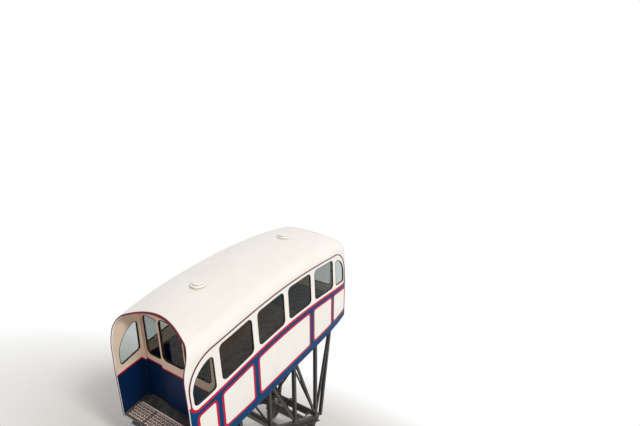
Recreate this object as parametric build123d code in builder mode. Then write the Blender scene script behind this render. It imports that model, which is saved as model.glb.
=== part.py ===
from build123d import *
import math
import os

os.makedirs("parts", exist_ok=True)

# A level-bodied car for a steep cable-worked railway.
# +X points downhill along the car, +Y to its left when facing downhill, +Z up.
# The origin lies on the plane of the rail tops, midway under the body. Sizes are in millimetres.

# Track
incline_deg = 33
gauge = 1067
rail_head_width = 60

# Body outline
half_length = 2620
half_width = 1050
plan_straight = 1500
plan_r = 7400
tumblehome = 40
wall = 32
floor_z = 2400
skirt_drop = 60
line_rise = 150
tumble_rise = 800
waist_rise = 1155
waist_drop = 253
gutter_rise = 2080
gutter_drop = 250
crown_rise = 2487
crown_drop = 254
shoulder_r = 285
rake_rise = 1500
rake_r = 1000
section_overrun = 70
fit_gap = 0.3

# Side windows, measured from the middle of the car, and what is between them
centre_pillar = 160
window_width = 825
pillar_width = 170
quarter_pillar = 153
sill_gap = 105
head_gap = 100
window_corner_r = 95
glass_thickness = 6
quarter_margin = 112
quarter_top_drop = 165
quarter_corner_r = 65
quarter_side = 280
quarter_shoulder_in = 120
quarter_shoulder_drop = 190

# Mouldings
drip_width = 20
drip_depth = 12
drip_margin = 40
drip_drop = 14
drip_turn = 560
foot_run = 110
foot_rise = 150
side_rise = 390
band_shoulder_in = 155
band_shoulder_drop = 270
bead_width = 18
bead_depth = 8
rim_depth = 16
rim_proud = 2
rim_width = 20

# Bulkheads and sliding doors
bulkhead_x = 2040
bulkhead_thickness = 34
doorway_y = 400
doorway_width = 480
doorway_height = 1960
doorway_corner_r = 60
door_gap = 9
door_thickness = 30
door_lap = 22
door_travel = 500
bulkhead_sill = 1100
bulkhead_window_width = 560
bulkhead_window_height = 880
bulkhead_post = 62
bulkhead_side_margin = 75
bulkhead_corner_r = 100
door_stile = 62
door_top_rail = 90
door_sill = 1030
sill_rail_width = 12
sill_rail_height = 10
tongue_thickness = 10
tongue_height = 40
track_web = 6
track_clearance = 6

# Floors
floor_thickness = 32

# Benches
seat_height = 400
seat_depth = 430
seat_board = 22
seat_back_height = 800
seat_back_lean = 50
kick_inset = 70
bench_board = 18
bench_wall_gap = 25
right_bench_half = 1880
left_bench_half = 1230
cushion_thickness = 62
cushion_gap = 10
back_cushion_thickness = 42
back_cushion_height = 330
seats_right = 8
seats_left = 5

# Roof ventilators, ceiling lamps and grab rails
vent_x = 1330
vent_neck_r = 100
vent_neck_height = 22
vent_r = 140
vent_height = 34
vent_edge_r = 20
vent_cap_neck_r = 80
vent_cap_neck_height = 12
vent_cap_r = 110
vent_cap_height = 20
vent_cap_edge_r = 12
vent_sink = 60
lamp_pitch = 1150
lamp_r = 110
lamp_depth = 45
lamp_edge_r = 26
grab_y = 540
grab_r = 16
grab_half = 1700
grab_rise = 1880
grab_brackets = 5
grab_bracket_pitch = 820
grab_bracket_r = 11

# Level frame under the floor
sole_height = 125
sole_width = 65
sole_web = 9
bearers = 9
bearer_pitch = 560
bearer_width = 60
bearer_height = 60
sole_end_gap = 30
step_width = 1500
step_reach = 60
step_height = 60
step_drop = 10
beam_thickness = 65

# Wedge frame between the level frame and the wheels, in lengths along the slope and heights over the rails
girder_y = 700
girder_base = 395
girder_height = 180
girder_width = 80
girder_web = 12
girder_flange = 15
girder_down = 1880
post_size = 80
post_xs = (-1250, -300, 650, 1600)
tie_size = 56
brace_thickness = 16
strut_head_x = 2350
cross_size = 80
cross_offset = 440

# Wheels and axles
wheel_r = 270
wheel_width = 125
flange_play = 6
flange_height = 28
flange_width = 30
rim_thickness = 45
hub_r = 88
hub_proud = 6
web_thickness = 28
web_hole_r = 32
web_hole_ring = 155
web_holes = 6
tread_fall = 4
axle_r = 48
journal_r = 38
journal_end_gap = 10
axle_uphill = -2080
axle_downhill = 1500
axlebox_width = 110
axlebox_length = 190
axlebox_drop = 85
axlebox_cover = 20
running_gap = 0.05
axle_end_clearance = 8

# Rope gear, track brakes and buffers
headstock_thickness = 60
headstock_height = 215
uphill_headstock = -2560
rope_height = 240
rope_spacing = 320
eye_bore_r = 22
eye_r = 55
eye_thickness = 45
drawbar_r = 20
drawbar_length = 300
brake_place = -300
brake_length = 460
brake_width = 54
brake_height = 60
brake_hanger = 120
brake_hanger_thickness = 24
rail_clearance = 14
buffer_spacing = 760
buffer_r = 85
buffer_stem_r = 45
buffer_stem = 130
buffer_head = 40

# Derived places
line_z = floor_z + line_rise
skirt_z = floor_z - skirt_drop
tumble_z = line_z + tumble_rise
rake_z = floor_z + rake_rise
sole_top = floor_z - floor_thickness
sole_base = sole_top - bearer_height - sole_height
sin_slope = math.sin(math.radians(incline_deg))
cos_slope = math.cos(math.radians(incline_deg))
rail_plane = Plane(origin=(0, 0, 0), x_dir=(cos_slope, 0, -sin_slope), z_dir=(sin_slope, 0, cos_slope))
end_run = half_length + section_overrun
tall = crown_rise + skirt_drop + 400
wide = 2 * half_width + 400
door_x = bulkhead_x - bulkhead_thickness - door_gap - door_thickness / 2
door_low = floor_z + sill_rail_height + fit_gap
door_high = floor_z + doorway_height + door_lap
sides = {"right": -1, "left": 1}
ends = {"uphill": -1, "downhill": 1}


def arc_height(x, top, drop):
    """Height at x of a level arc that falls by drop from its top to the end of the body."""
    r = (half_length**2 + drop**2) / (2 * drop)
    return top - r + math.sqrt(r**2 - x**2)


def waist_z(x):
    return arc_height(x, floor_z + waist_rise, waist_drop)


def gutter_z(x):
    return arc_height(x, floor_z + gutter_rise, gutter_drop)


def crown_z(x):
    return arc_height(x, floor_z + crown_rise, crown_drop)


def plan_half_width(x):
    beyond = max(abs(x) - plan_straight, 0)
    return half_width - plan_r + math.sqrt(plan_r**2 - beyond**2)


def roof_arc(x, inset):
    """Springing half width, springing height, rise, shoulder radius and crown radius of the roof at x."""
    top_y = plan_half_width(x) - inset - tumblehome
    rise = crown_z(x) - gutter_z(x) - inset
    r = shoulder_r - inset
    crown_r = ((top_y - r) ** 2 + rise**2 - r**2) / (2 * (rise - r))
    return top_y, gutter_z(x), rise, r, crown_r


def ceiling_z(x, y):
    """Height of the ceiling over the point x, y under the crown arc."""
    _, spring_z, rise, _, crown_r = roof_arc(x, wall)
    return spring_z + rise - crown_r + math.sqrt(crown_r**2 - y**2)


def body_section(x, inset, below=0):
    """Cross-section of the body at x, moved in from the outer skin by inset."""
    low_y = plan_half_width(x) - inset
    low_z = skirt_z - below
    top_y, spring_z, rise, r, crown_r = roof_arc(x, inset)
    lean = math.atan2(crown_r - rise, top_y - r)
    knee = (top_y - r + r * math.cos(lean), spring_z + r * math.sin(lean))
    mid = (top_y - r + r * math.cos(lean / 2), spring_z + r * math.sin(lean / 2))
    with BuildSketch(Plane.YZ.offset(x)) as section:
        with BuildLine():
            Polyline((0, low_z), (low_y, low_z), (low_y, tumble_z), (top_y, spring_z))
            ThreePointArc((top_y, spring_z), mid, knee)
            ThreePointArc(knee, (0, spring_z + rise), (-knee[0], knee[1]))
            ThreePointArc((-knee[0], knee[1]), (-mid[0], mid[1]), (-top_y, spring_z))
            Polyline((-top_y, spring_z), (-low_y, tumble_z), (-low_y, low_z), (0, low_z))
        make_face()
    return section.sketch


def body_solid(inset, below=0):
    """The body's outer form moved in by inset, as one solid lofted along the car."""
    half = (plan_straight, bulkhead_x, end_run)
    stations = [-x for x in reversed(half)] + [0] + list(half)
    with BuildPart() as form:
        loft([body_section(x, inset, below) for x in stations])
    return form.part


def raked_outline(grow=0):
    """Side view of the body between its raked ends, grown outwards by grow."""
    x = half_length + grow
    r = rake_r + grow
    with BuildSketch(Plane.XZ) as outline:
        with BuildLine():
            Line((-x, skirt_z - tall / 2), (-x, rake_z))
            TangentArc((-x, rake_z), (-x + r, rake_z + r), tangent=(0, 1))
            Line((-x + r, rake_z + r), (x - r, rake_z + r))
            TangentArc((x - r, rake_z + r), (x, rake_z), tangent=(1, 0))
            Polyline((x, rake_z), (x, skirt_z - tall / 2), (-x, skirt_z - tall / 2))
        make_face()
    return outline.sketch


def below_waist(rise=0):
    """Side view of everything under the curved waist line raised by rise."""
    end_z = waist_z(end_run) + rise
    with BuildSketch(Plane.XZ) as outline:
        with BuildLine():
            ThreePointArc((-end_run, end_z), (0, waist_z(0) + rise), (end_run, end_z))
            Polyline(
                (end_run, end_z), (end_run, skirt_z - tall / 2), (-end_run, skirt_z - tall / 2), (-end_run, end_z)
            )
        make_face()
    return outline.sketch


def window_band(grow=0):
    """Side view of the panel between the waist and the drip moulding, which curls down at both ends."""
    edge_x = half_length - drip_margin
    side_x = edge_x + grow
    foot_x = edge_x - foot_run
    turn_x = half_length - drip_turn
    foot_z = waist_z(foot_x) - grow
    turn_z = gutter_z(turn_x) - drip_drop + grow
    side_low = waist_z(edge_x) + foot_rise
    side_high = waist_z(edge_x) + side_rise
    shoulder = (half_length - band_shoulder_in + grow * 0.7, gutter_z(turn_x) - band_shoulder_drop + grow * 0.7)
    with BuildSketch(Plane.XZ) as outline:
        with BuildLine():
            ThreePointArc((-foot_x, foot_z), (0, waist_z(0) - grow), (foot_x, foot_z))
            ThreePointArc((-turn_x, turn_z), (0, gutter_z(0) - drip_drop + grow), (turn_x, turn_z))
            for end in (-1, 1):
                TangentArc((end * side_x, side_low), (end * foot_x, foot_z), tangent=(0, -1))
                Line((end * side_x, side_low), (end * side_x, side_high))
                ThreePointArc(
                    (end * side_x, side_high), (end * shoulder[0], shoulder[1]), (end * turn_x, turn_z)
                )
        make_face()
    return outline.sketch


def post_foot(end):
    """Side view of the foot of an end post, which belongs to the lower panel."""
    edge_x = half_length - drip_margin
    with BuildSketch(Plane.XZ) as outline:
        with Locations((end * (edge_x - foot_run), waist_z(edge_x) + foot_rise)):
            align_x = Align.MIN if end > 0 else Align.MAX
            Rectangle(foot_run + drip_margin + section_overrun, foot_rise + waist_drop, align=(align_x, Align.MAX))
    return outline.sketch


def window_bays():
    """Inner and outer edge of each full window on the downhill half, from the middle outwards."""
    first = centre_pillar / 2
    second = first + window_width + pillar_width
    return ((first, first + window_width), (second, second + window_width))


quarter_x = window_bays()[1][1] + quarter_pillar


def side_windows(shrink=0):
    """Side views of the four windows and the two quarter windows, each taken in by shrink."""
    outer_x = half_length - quarter_margin
    low_z = waist_z(outer_x) + sill_gap
    top_z = gutter_z(quarter_x) - quarter_top_drop
    windows = []
    for end in (-1, 1):
        for near, far in window_bays():
            with BuildSketch(Plane.XZ) as window:
                with BuildLine():
                    Polyline(
                        (end * near, waist_z(near) + sill_gap),
                        (end * far, waist_z(far) + sill_gap),
                        (end * far, gutter_z(far) - head_gap),
                        (end * near, gutter_z(near) - head_gap),
                        close=True,
                    )
                make_face()
                fillet(window.vertices(), window_corner_r)
                if shrink:
                    offset(amount=-shrink, mode=Mode.REPLACE)
            windows.append(window.sketch)
        with BuildSketch(Plane.XZ) as quarter:
            with BuildLine():
                Polyline(
                    (end * outer_x, low_z + quarter_side),
                    (end * outer_x, low_z),
                    (end * quarter_x, waist_z(quarter_x) + sill_gap),
                    (end * quarter_x, top_z),
                )
                ThreePointArc(
                    (end * quarter_x, top_z),
                    (end * (outer_x - quarter_shoulder_in), top_z - quarter_shoulder_drop),
                    (end * outer_x, low_z + quarter_side),
                )
            make_face()
            fillet(quarter.vertices(), quarter_corner_r)
            if shrink:
                offset(amount=-shrink, mode=Mode.REPLACE)
        windows.append(quarter.sketch)
    return windows


def across(*outlines):
    """Side views carried right across the car."""
    with BuildPart() as block:
        for outline in outlines:
            extrude(Pos(0, wide / 2, 0) * outline, amount=wide, dir=(0, -1, 0))
    return block.part


def half_space(hand):
    """A block that holds everything on one side of the car's centre line."""
    with BuildPart() as block:
        with Locations((0, hand * wide / 4, floor_z)):
            Box(3 * half_length, wide / 2, 2 * tall)
    return block.part


outer_form = body_solid(0)
inner_form = body_solid(wall, below=sole_height)
lining_form = body_solid(wall + fit_gap, below=sole_height)

# The hollow body, open at both raked ends and below
with BuildPart() as shell:
    add(outer_form)
    add(inner_form, mode=Mode.SUBTRACT)
    add(across(raked_outline()), mode=Mode.INTERSECT)

lower_zone = across(below_waist(), post_foot(-1), post_foot(1))
window_zone = across(window_band())

# Roof, sweeping down both ends to the feet of the end posts
with BuildPart() as roof_shell:
    add(shell.part)
    add(lower_zone, mode=Mode.SUBTRACT)
    add(window_zone, mode=Mode.SUBTRACT)
roof_shell.part.label = "roof_shell"
export_step(roof_shell.part, "parts/roof_shell.step")

# Window panels and lower panels, one of each for each side
for side, hand in sides.items():
    half = half_space(hand)
    with BuildPart() as upper_side:
        add(shell.part)
        add(half, mode=Mode.INTERSECT)
        add(window_zone, mode=Mode.INTERSECT)
        add(across(*side_windows()), mode=Mode.SUBTRACT)
    upper_side.part.label = f"upper_side_{side}"
    export_step(upper_side.part, f"parts/upper_side_{side}.step")

    with BuildPart() as lower_side:
        add(shell.part)
        add(half, mode=Mode.INTERSECT)
        add(lower_zone, mode=Mode.INTERSECT)
        add(window_zone, mode=Mode.SUBTRACT)
    lower_side.part.label = f"lower_side_{side}"
    export_step(lower_side.part, f"parts/lower_side_{side}.step")

# Curved panes in the middle of the wall
with BuildPart() as side_glass:
    add(body_solid((wall - glass_thickness) / 2))
    add(body_solid((wall + glass_thickness) / 2), mode=Mode.SUBTRACT)
    add(across(*side_windows(fit_gap)), mode=Mode.INTERSECT)
side_glass.part.label = "side_glass"
export_step(side_glass.part, "parts/side_glass.step")

# Drip mouldings over the windows, curling down both ends to the feet of the posts
below_drip = across(below_waist(foot_rise))
with BuildPart() as drip_mouldings:
    add(body_solid(-drip_depth))
    add(outer_form, mode=Mode.SUBTRACT)
    add(across(window_band(drip_width / 2)), mode=Mode.INTERSECT)
    add(across(window_band(-drip_width / 2)), mode=Mode.SUBTRACT)
    add(below_drip, mode=Mode.SUBTRACT)
drip_mouldings.part.label = "drip_mouldings"
export_step(drip_mouldings.part, "parts/drip_mouldings.step")

# Beads that carry on from the drip mouldings along the waist
with BuildPart() as waist_beads:
    add(body_solid(-bead_depth))
    add(outer_form, mode=Mode.SUBTRACT)
    add(across(window_band(bead_width / 2)), mode=Mode.INTERSECT)
    add(across(window_band(-bead_width / 2)), mode=Mode.SUBTRACT)
    add(below_drip, mode=Mode.INTERSECT)
waist_beads.part.label = "waist_beads"
export_step(waist_beads.part, "parts/waist_beads.step")

# Rolled rims round both open ends
with BuildPart() as end_rims:
    add(body_solid(-rim_proud))
    add(body_solid(rim_width, below=sole_height), mode=Mode.SUBTRACT)
    add(across(raked_outline(rim_depth)), mode=Mode.INTERSECT)
    add(across(raked_outline()), mode=Mode.SUBTRACT)
end_rims.part.label = "end_rims"
export_step(end_rims.part, "parts/end_rims.step")

# Bulkheads with a doorway and two fixed windows, their glass, and a sliding door behind each
door_low_y = doorway_y - door_lap
door_high_y = doorway_y + doorway_width + door_lap
side_window_y = doorway_y - bulkhead_post - bulkhead_window_width - bulkhead_post
bulkhead_edge = plan_half_width(bulkhead_x) - wall - tumblehome
outer_window_width = bulkhead_edge - bulkhead_side_margin + side_window_y
bulkhead_windows = (
    (doorway_y - bulkhead_post - bulkhead_window_width / 2, bulkhead_window_width),
    (side_window_y - outer_window_width / 2, outer_window_width),
)
window_mid_z = floor_z + bulkhead_sill + bulkhead_window_height / 2
door_window_y = (door_low_y + door_high_y) / 2
door_window_width = door_high_y - door_low_y - 2 * door_stile
door_window_height = door_high - door_top_rail - floor_z - door_sill
door_window_z = floor_z + door_sill + door_window_height / 2

for end, way in ends.items():
    outer_face = Plane.YZ.offset(way * bulkhead_x)
    inward = -way * bulkhead_thickness
    with BuildPart() as bulkhead:
        extrude(body_section(way * bulkhead_x, wall + fit_gap), amount=inward)
        with Locations((0, 0, floor_z - tall)):
            Box(3 * half_length, wide, 2 * tall, mode=Mode.SUBTRACT)
        with BuildSketch(outer_face):
            with Locations((doorway_y + doorway_width / 2, floor_z + doorway_height / 2 - doorway_corner_r)):
                RectangleRounded(doorway_width, doorway_height + 2 * doorway_corner_r, doorway_corner_r)
            for mid_y, width in bulkhead_windows:
                with Locations((mid_y, window_mid_z)):
                    RectangleRounded(width, bulkhead_window_height, bulkhead_corner_r)
        extrude(amount=inward, mode=Mode.SUBTRACT)
    bulkhead.part.label = f"bulkhead_{end}"
    export_step(bulkhead.part, f"parts/bulkhead_{end}.step")

    with BuildPart() as door:
        with BuildSketch(Plane.YZ.offset(way * door_x)):
            with Locations(((door_low_y + door_high_y) / 2, (door_low + door_high) / 2)):
                Rectangle(door_high_y - door_low_y, door_high - door_low)
            with Locations((door_window_y, door_window_z)):
                RectangleRounded(
                    door_window_width, door_window_height, bulkhead_corner_r, mode=Mode.SUBTRACT
                )
        extrude(amount=door_thickness / 2, both=True)
        with Locations((way * door_x, (door_low_y + door_high_y) / 2, door_high + tongue_height / 2)):
            Box(tongue_thickness, door_high_y - door_low_y, tongue_height)
    door.part.label = f"door_{end}"
    export_step(door.part, f"parts/door_{end}.step")

    with BuildPart() as door_glass:
        with BuildSketch(Plane.YZ.offset(way * door_x)):
            with Locations((door_window_y, door_window_z)):
                RectangleRounded(
                    door_window_width - 2 * fit_gap,
                    door_window_height - 2 * fit_gap,
                    bulkhead_corner_r - fit_gap,
                )
        extrude(amount=glass_thickness / 2, both=True)
    door_glass.part.label = f"door_glass_{end}"
    export_step(door_glass.part, f"parts/door_glass_{end}.step")

with BuildPart() as bulkhead_glass:
    for way in ends.values():
        pane_x = bulkhead_x - (bulkhead_thickness - glass_thickness) / 2
        with BuildSketch(Plane.YZ.offset(way * pane_x)):
            for mid_y, width in bulkhead_windows:
                with Locations((mid_y, window_mid_z)):
                    RectangleRounded(
                        width - 2 * fit_gap, bulkhead_window_height - 2 * fit_gap, bulkhead_corner_r - fit_gap
                    )
        extrude(amount=-way * glass_thickness)
bulkhead_glass.part.label = "bulkhead_glass"
export_step(bulkhead_glass.part, "parts/bulkhead_glass.step")

# A channel over each door that guides its tongue, and a rail on the floor that carries it
track_length = door_high_y - door_low_y + door_travel
track_y = door_high_y - track_length / 2
track_inside = tongue_thickness + 2 * track_clearance
track_low = door_high + track_clearance
track_high = door_high + tongue_height + track_clearance + track_web
track_mid_z = (track_low + track_high) / 2
bracket_depth = bulkhead_x - bulkhead_thickness - door_x - track_inside / 2
bracket_x = door_x + (track_inside + bracket_depth) / 2
with BuildPart() as door_tracks:
    for way in ends.values():
        with Locations((way * door_x, track_y, track_mid_z)):
            Box(track_inside + 2 * track_web, track_length, track_high - track_low)
        with Locations((way * bracket_x, track_y, track_high - track_web / 2)):
            Box(bracket_depth, track_length, track_web)
        with Locations((way * door_x, track_y, track_mid_z - track_web)):
            Box(track_inside, track_length, track_high - track_low, mode=Mode.SUBTRACT)
        with Locations((way * door_x, track_y, floor_z + sill_rail_height / 2)):
            Box(sill_rail_width, track_length, sill_rail_height)
door_tracks.part.label = "door_tracks"
export_step(door_tracks.part, "parts/door_tracks.step")

# Floors: boards between the bulkheads and a plate on each open platform
floor_mid_z = floor_z - floor_thickness / 2
with BuildPart() as saloon_floor:
    with Locations((0, 0, floor_mid_z)):
        Box(2 * bulkhead_x, wide, floor_thickness)
    add(lining_form, mode=Mode.INTERSECT)
saloon_floor.part.label = "saloon_floor"
export_step(saloon_floor.part, "parts/saloon_floor.step")

with BuildPart() as platform_plates:
    for way in ends.values():
        with Locations((way * (bulkhead_x + half_length) / 2, 0, floor_mid_z)):
            Box(half_length - bulkhead_x, wide, floor_thickness)
    add(lining_form, mode=Mode.INTERSECT)
platform_plates.part.label = "platform_plates"
export_step(platform_plates.part, "parts/platform_plates.step")

# Long benches under the side windows, with their cushions
seat_z = floor_z + seat_height
back_z = floor_z + seat_back_height
pad_depth = seat_depth - seat_back_lean - bench_board - back_cushion_thickness - cushion_gap
seat_lean = math.atan2(seat_back_lean, seat_back_height - seat_height)
back_low = seat_back_height - seat_height - back_cushion_height - cushion_gap
bench_layout = (
    {"side": "right", "hand": -1, "half": right_bench_half, "seats": seats_right},
    {"side": "left", "hand": 1, "half": left_bench_half, "seats": seats_left},
)
seat_pads = []
back_pads = []
for row in bench_layout:
    hand = row["hand"]
    wall_y = plan_half_width(row["half"]) - wall - bench_wall_gap
    front_y = wall_y - seat_depth
    foot_y = wall_y - seat_back_lean - bench_board
    with BuildPart() as bench:
        with BuildSketch(Plane.YZ.offset(-row["half"])):
            with BuildLine():
                Polyline(
                    (hand * (front_y + kick_inset), floor_z),
                    (hand * (front_y + kick_inset), seat_z - seat_board),
                    (hand * front_y, seat_z - seat_board),
                    (hand * front_y, seat_z),
                    (hand * foot_y, seat_z),
                    (hand * (wall_y - bench_board), back_z),
                    (hand * wall_y, back_z),
                    (hand * wall_y, floor_z),
                    close=True,
                )
            make_face()
        extrude(amount=2 * row["half"])
    bench.part.label = f"bench_{row['side']}"
    export_step(bench.part, f"parts/bench_{row['side']}.step")

    pitch = 2 * row["half"] / row["seats"]
    back_out = fit_gap + back_cushion_thickness / 2
    back_up = back_low + back_cushion_height / 2
    for seat in range(row["seats"]):
        pad_x = (seat + 0.5) * pitch - row["half"]
        seat_pads.append((pitch, Pos(pad_x, hand * (front_y + pad_depth / 2), seat_z + fit_gap)))
        back_y = foot_y + back_up * math.sin(seat_lean) - back_out * math.cos(seat_lean)
        back_mid_z = seat_z + back_up * math.cos(seat_lean) + back_out * math.sin(seat_lean)
        tilt = Rot(-hand * math.degrees(seat_lean), 0, 0)
        back_pads.append((pitch, Pos(pad_x, hand * back_y, back_mid_z) * tilt))

with BuildPart() as seat_cushions:
    for pitch, place in seat_pads:
        with Locations(place):
            Box(
                pitch - cushion_gap, pad_depth, cushion_thickness, align=(Align.CENTER, Align.CENTER, Align.MIN)
            )
seat_cushions.part.label = "seat_cushions"
export_step(seat_cushions.part, "parts/seat_cushions.step")

with BuildPart() as back_cushions:
    for pitch, place in back_pads:
        with Locations(place):
            Box(pitch - cushion_gap, back_cushion_thickness, back_cushion_height)
back_cushions.part.label = "back_cushions"
export_step(back_cushions.part, "parts/back_cushions.step")

# Two-tier ventilators on the crown of the roof
drum_top = vent_neck_height + vent_height
cap_low = drum_top + vent_cap_neck_height
cap_top = cap_low + vent_cap_height
with BuildPart() as ventilator:
    with BuildSketch(Plane.XZ):
        with BuildLine():
            Polyline(
                (0, -vent_sink),
                (vent_neck_r, -vent_sink),
                (vent_neck_r, vent_neck_height),
                (vent_r, vent_neck_height),
                (vent_r, drum_top - vent_edge_r),
            )
            TangentArc((vent_r, drum_top - vent_edge_r), (vent_r - vent_edge_r, drum_top), tangent=(0, 1))
            Polyline(
                (vent_r - vent_edge_r, drum_top),
                (vent_cap_neck_r, drum_top),
                (vent_cap_neck_r, cap_low),
                (vent_cap_r, cap_low),
                (vent_cap_r, cap_top - vent_cap_edge_r),
            )
            TangentArc(
                (vent_cap_r, cap_top - vent_cap_edge_r), (vent_cap_r - vent_cap_edge_r, cap_top), tangent=(0, 1)
            )
            Polyline((vent_cap_r - vent_cap_edge_r, cap_top), (0, cap_top), (0, -vent_sink))
        make_face()
    revolve(axis=Axis.Z)
with BuildPart() as roof_vents:
    for way in ends.values():
        with Locations((way * vent_x, 0, crown_z(vent_x))):
            add(ventilator.part)
    add(outer_form, mode=Mode.SUBTRACT)
roof_vents.part.label = "roof_vents"
export_step(roof_vents.part, "parts/roof_vents.step")

# Ceiling lamps along the middle of the saloon
with BuildPart() as ceiling_lamps:
    for place in (-lamp_pitch, 0, lamp_pitch):
        with Locations((place, 0, ceiling_z(place, 0) - lamp_depth)):
            Cylinder(lamp_r, 2 * lamp_depth, align=(Align.CENTER, Align.CENTER, Align.MIN))
    rims = ceiling_lamps.faces().filter_by(GeomType.PLANE).filter_by(lambda face: face.normal_at().Z < 0)
    fillet(rims.edges(), lamp_edge_r)
    add(lining_form, mode=Mode.INTERSECT)
ceiling_lamps.part.label = "ceiling_lamps"
export_step(ceiling_lamps.part, "parts/ceiling_lamps.step")

# Grab rails hung from the ceiling
grab_z = floor_z + grab_rise
with BuildPart() as grab_rails:
    for hand in sides.values():
        for index in range(grab_brackets):
            place = (index - (grab_brackets - 1) / 2) * grab_bracket_pitch
            with Locations((place, hand * grab_y, grab_z)):
                Cylinder(
                    grab_bracket_r,
                    ceiling_z(place, grab_y) + grab_r - grab_z,
                    align=(Align.CENTER, Align.CENTER, Align.MIN),
                )
        with Locations(Location((0, hand * grab_y, grab_z), (0, 90, 0))):
            Cylinder(grab_r, 2 * grab_half)
    add(lining_form, mode=Mode.INTERSECT)
grab_rails.part.label = "grab_rails"
export_step(grab_rails.part, "parts/grab_rails.step")

# Level frame: cross bearers under the floor, on two channels closed by an end beam with a step
sole_half = half_length - sole_end_gap
channel_half = sole_half - beam_thickness
sole_mid_z = sole_base + sole_height / 2
with BuildPart() as floor_bearers:
    for index in range(bearers):
        with Locations(((index - (bearers - 1) / 2) * bearer_pitch, 0, sole_top - bearer_height / 2)):
            Box(bearer_width, wide, bearer_height)
    add(lining_form, mode=Mode.INTERSECT)
floor_bearers.part.label = "floor_bearers"
export_step(floor_bearers.part, "parts/floor_bearers.step")

with BuildPart() as sole_channels:
    for hand in sides.values():
        with Locations((0, hand * girder_y, sole_mid_z)):
            Box(2 * channel_half, sole_width, sole_height)
        with Locations((0, hand * (girder_y + sole_web), sole_mid_z)):
            Box(2 * channel_half, sole_width, sole_height - 2 * sole_web, mode=Mode.SUBTRACT)
sole_channels.part.label = "sole_channels"
export_step(sole_channels.part, "parts/sole_channels.step")

with BuildPart() as end_beams:
    for way in ends.values():
        with Locations((way * (sole_half - beam_thickness / 2), 0, sole_mid_z)):
            Box(beam_thickness, step_width, sole_height)
        with Locations((way * (sole_half + step_reach / 2), 0, sole_base + sole_height - step_drop)):
            Box(step_reach, step_width, step_height, align=(Align.CENTER, Align.CENTER, Align.MAX))
end_beams.part.label = "end_beams"
export_step(end_beams.part, "parts/end_beams.step")


# Wedge frame: sloping girders, and posts and ties between them and the level frame
def slope_point(along, height):
    """World x and z of a point given along the slope and up from the rail tops."""
    return (along * cos_slope + height * sin_slope, height * cos_slope - along * sin_slope)


def slope_z(x, height):
    """World z at world x on the line that runs at a height over the rail tops."""
    return (height - x * sin_slope) / cos_slope


def girder_outline(trim=0):
    """Side view of a sloping girder, cut level under the level frame, with its edges moved in by trim."""
    low = girder_base + trim
    high = girder_base + girder_height - trim
    level = sole_base - trim
    tail_x = trim - sole_half
    with BuildSketch(Plane.XZ) as outline:
        with BuildLine():
            Polyline(
                slope_point(girder_down, low),
                slope_point(girder_down, high),
                ((high - level * cos_slope) / sin_slope, level),
                (tail_x, level),
                (tail_x, slope_z(tail_x, low)),
                close=True,
            )
        make_face()
    return outline.sketch


def bar(start, finish, breadth):
    """Side view of a straight bar from start to finish, with its ends run on by half its breadth."""
    run = (finish[0] - start[0], finish[1] - start[1])
    with BuildSketch(Plane.XZ) as outline:
        with Locations(((start[0] + finish[0]) / 2, (start[1] + finish[1]) / 2)):
            Rectangle(math.hypot(*run) + breadth, breadth, rotation=math.degrees(math.atan2(run[1], run[0])))
    return outline.sketch


def slab(outline, mid_y, breadth):
    """A side view made into a plate of a given breadth about mid_y."""
    with BuildPart() as plate:
        extrude(Pos(0, mid_y + breadth / 2, 0) * outline, amount=breadth, dir=(0, -1, 0))
    return plate.part


girder_top = girder_base + girder_height
girder_mid = girder_base + girder_height / 2
girder_inner_y = girder_y - girder_width / 2
toe = slope_point(girder_down, girder_top)
post_feet = [(x, slope_z(x, girder_top)) for x in post_xs]
heads = [(x, sole_base) for x in post_xs] + [(strut_head_x, sole_base)]
with BuildSketch(Plane.XZ) as truss_room:
    with BuildLine():
        Polyline(
            ((girder_top - sole_base * cos_slope) / sin_slope, sole_base),
            toe,
            (sole_half, toe[1]),
            (sole_half, sole_base),
            close=True,
        )
    make_face()

with BuildPart() as girders:
    for hand in sides.values():
        add(slab(girder_outline(), hand * girder_y, girder_width))
        add(
            slab(girder_outline(girder_flange), hand * (girder_y + girder_web), girder_width),
            mode=Mode.SUBTRACT,
        )
girders.part.label = "girders"
export_step(girders.part, "parts/girders.step")

# Posts, and a raking strut to the overhanging downhill end
strut = bar((toe[0] - post_size / 2, toe[1]), heads[-1], post_size)
post_bars = [bar(foot, head, post_size) for head, foot in zip(heads, post_feet)] + [strut]
tie_bars = [bar(head, foot, tie_size) for head, foot in zip(heads, post_feet[1:])]
tie_bars.append(bar(heads[-1], post_feet[-1], tie_size))
with BuildPart() as truss_posts:
    for hand in sides.values():
        for outline in post_bars:
            add(slab(outline, hand * girder_y, post_size))
    add(slab(truss_room.sketch, 0, wide), mode=Mode.INTERSECT)
truss_posts.part.label = "truss_posts"
export_step(truss_posts.part, "parts/truss_posts.step")

# Diagonal ties between the posts
with BuildPart() as truss_ties:
    for hand in sides.values():
        for outline in tie_bars:
            add(slab(outline, hand * girder_y, tie_size))
    add(slab(truss_room.sketch, 0, wide), mode=Mode.INTERSECT)
    for outline in post_bars:
        add(slab(outline, 0, wide), mode=Mode.SUBTRACT)
truss_ties.part.label = "truss_ties"
export_step(truss_ties.part, "parts/truss_ties.step")

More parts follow.
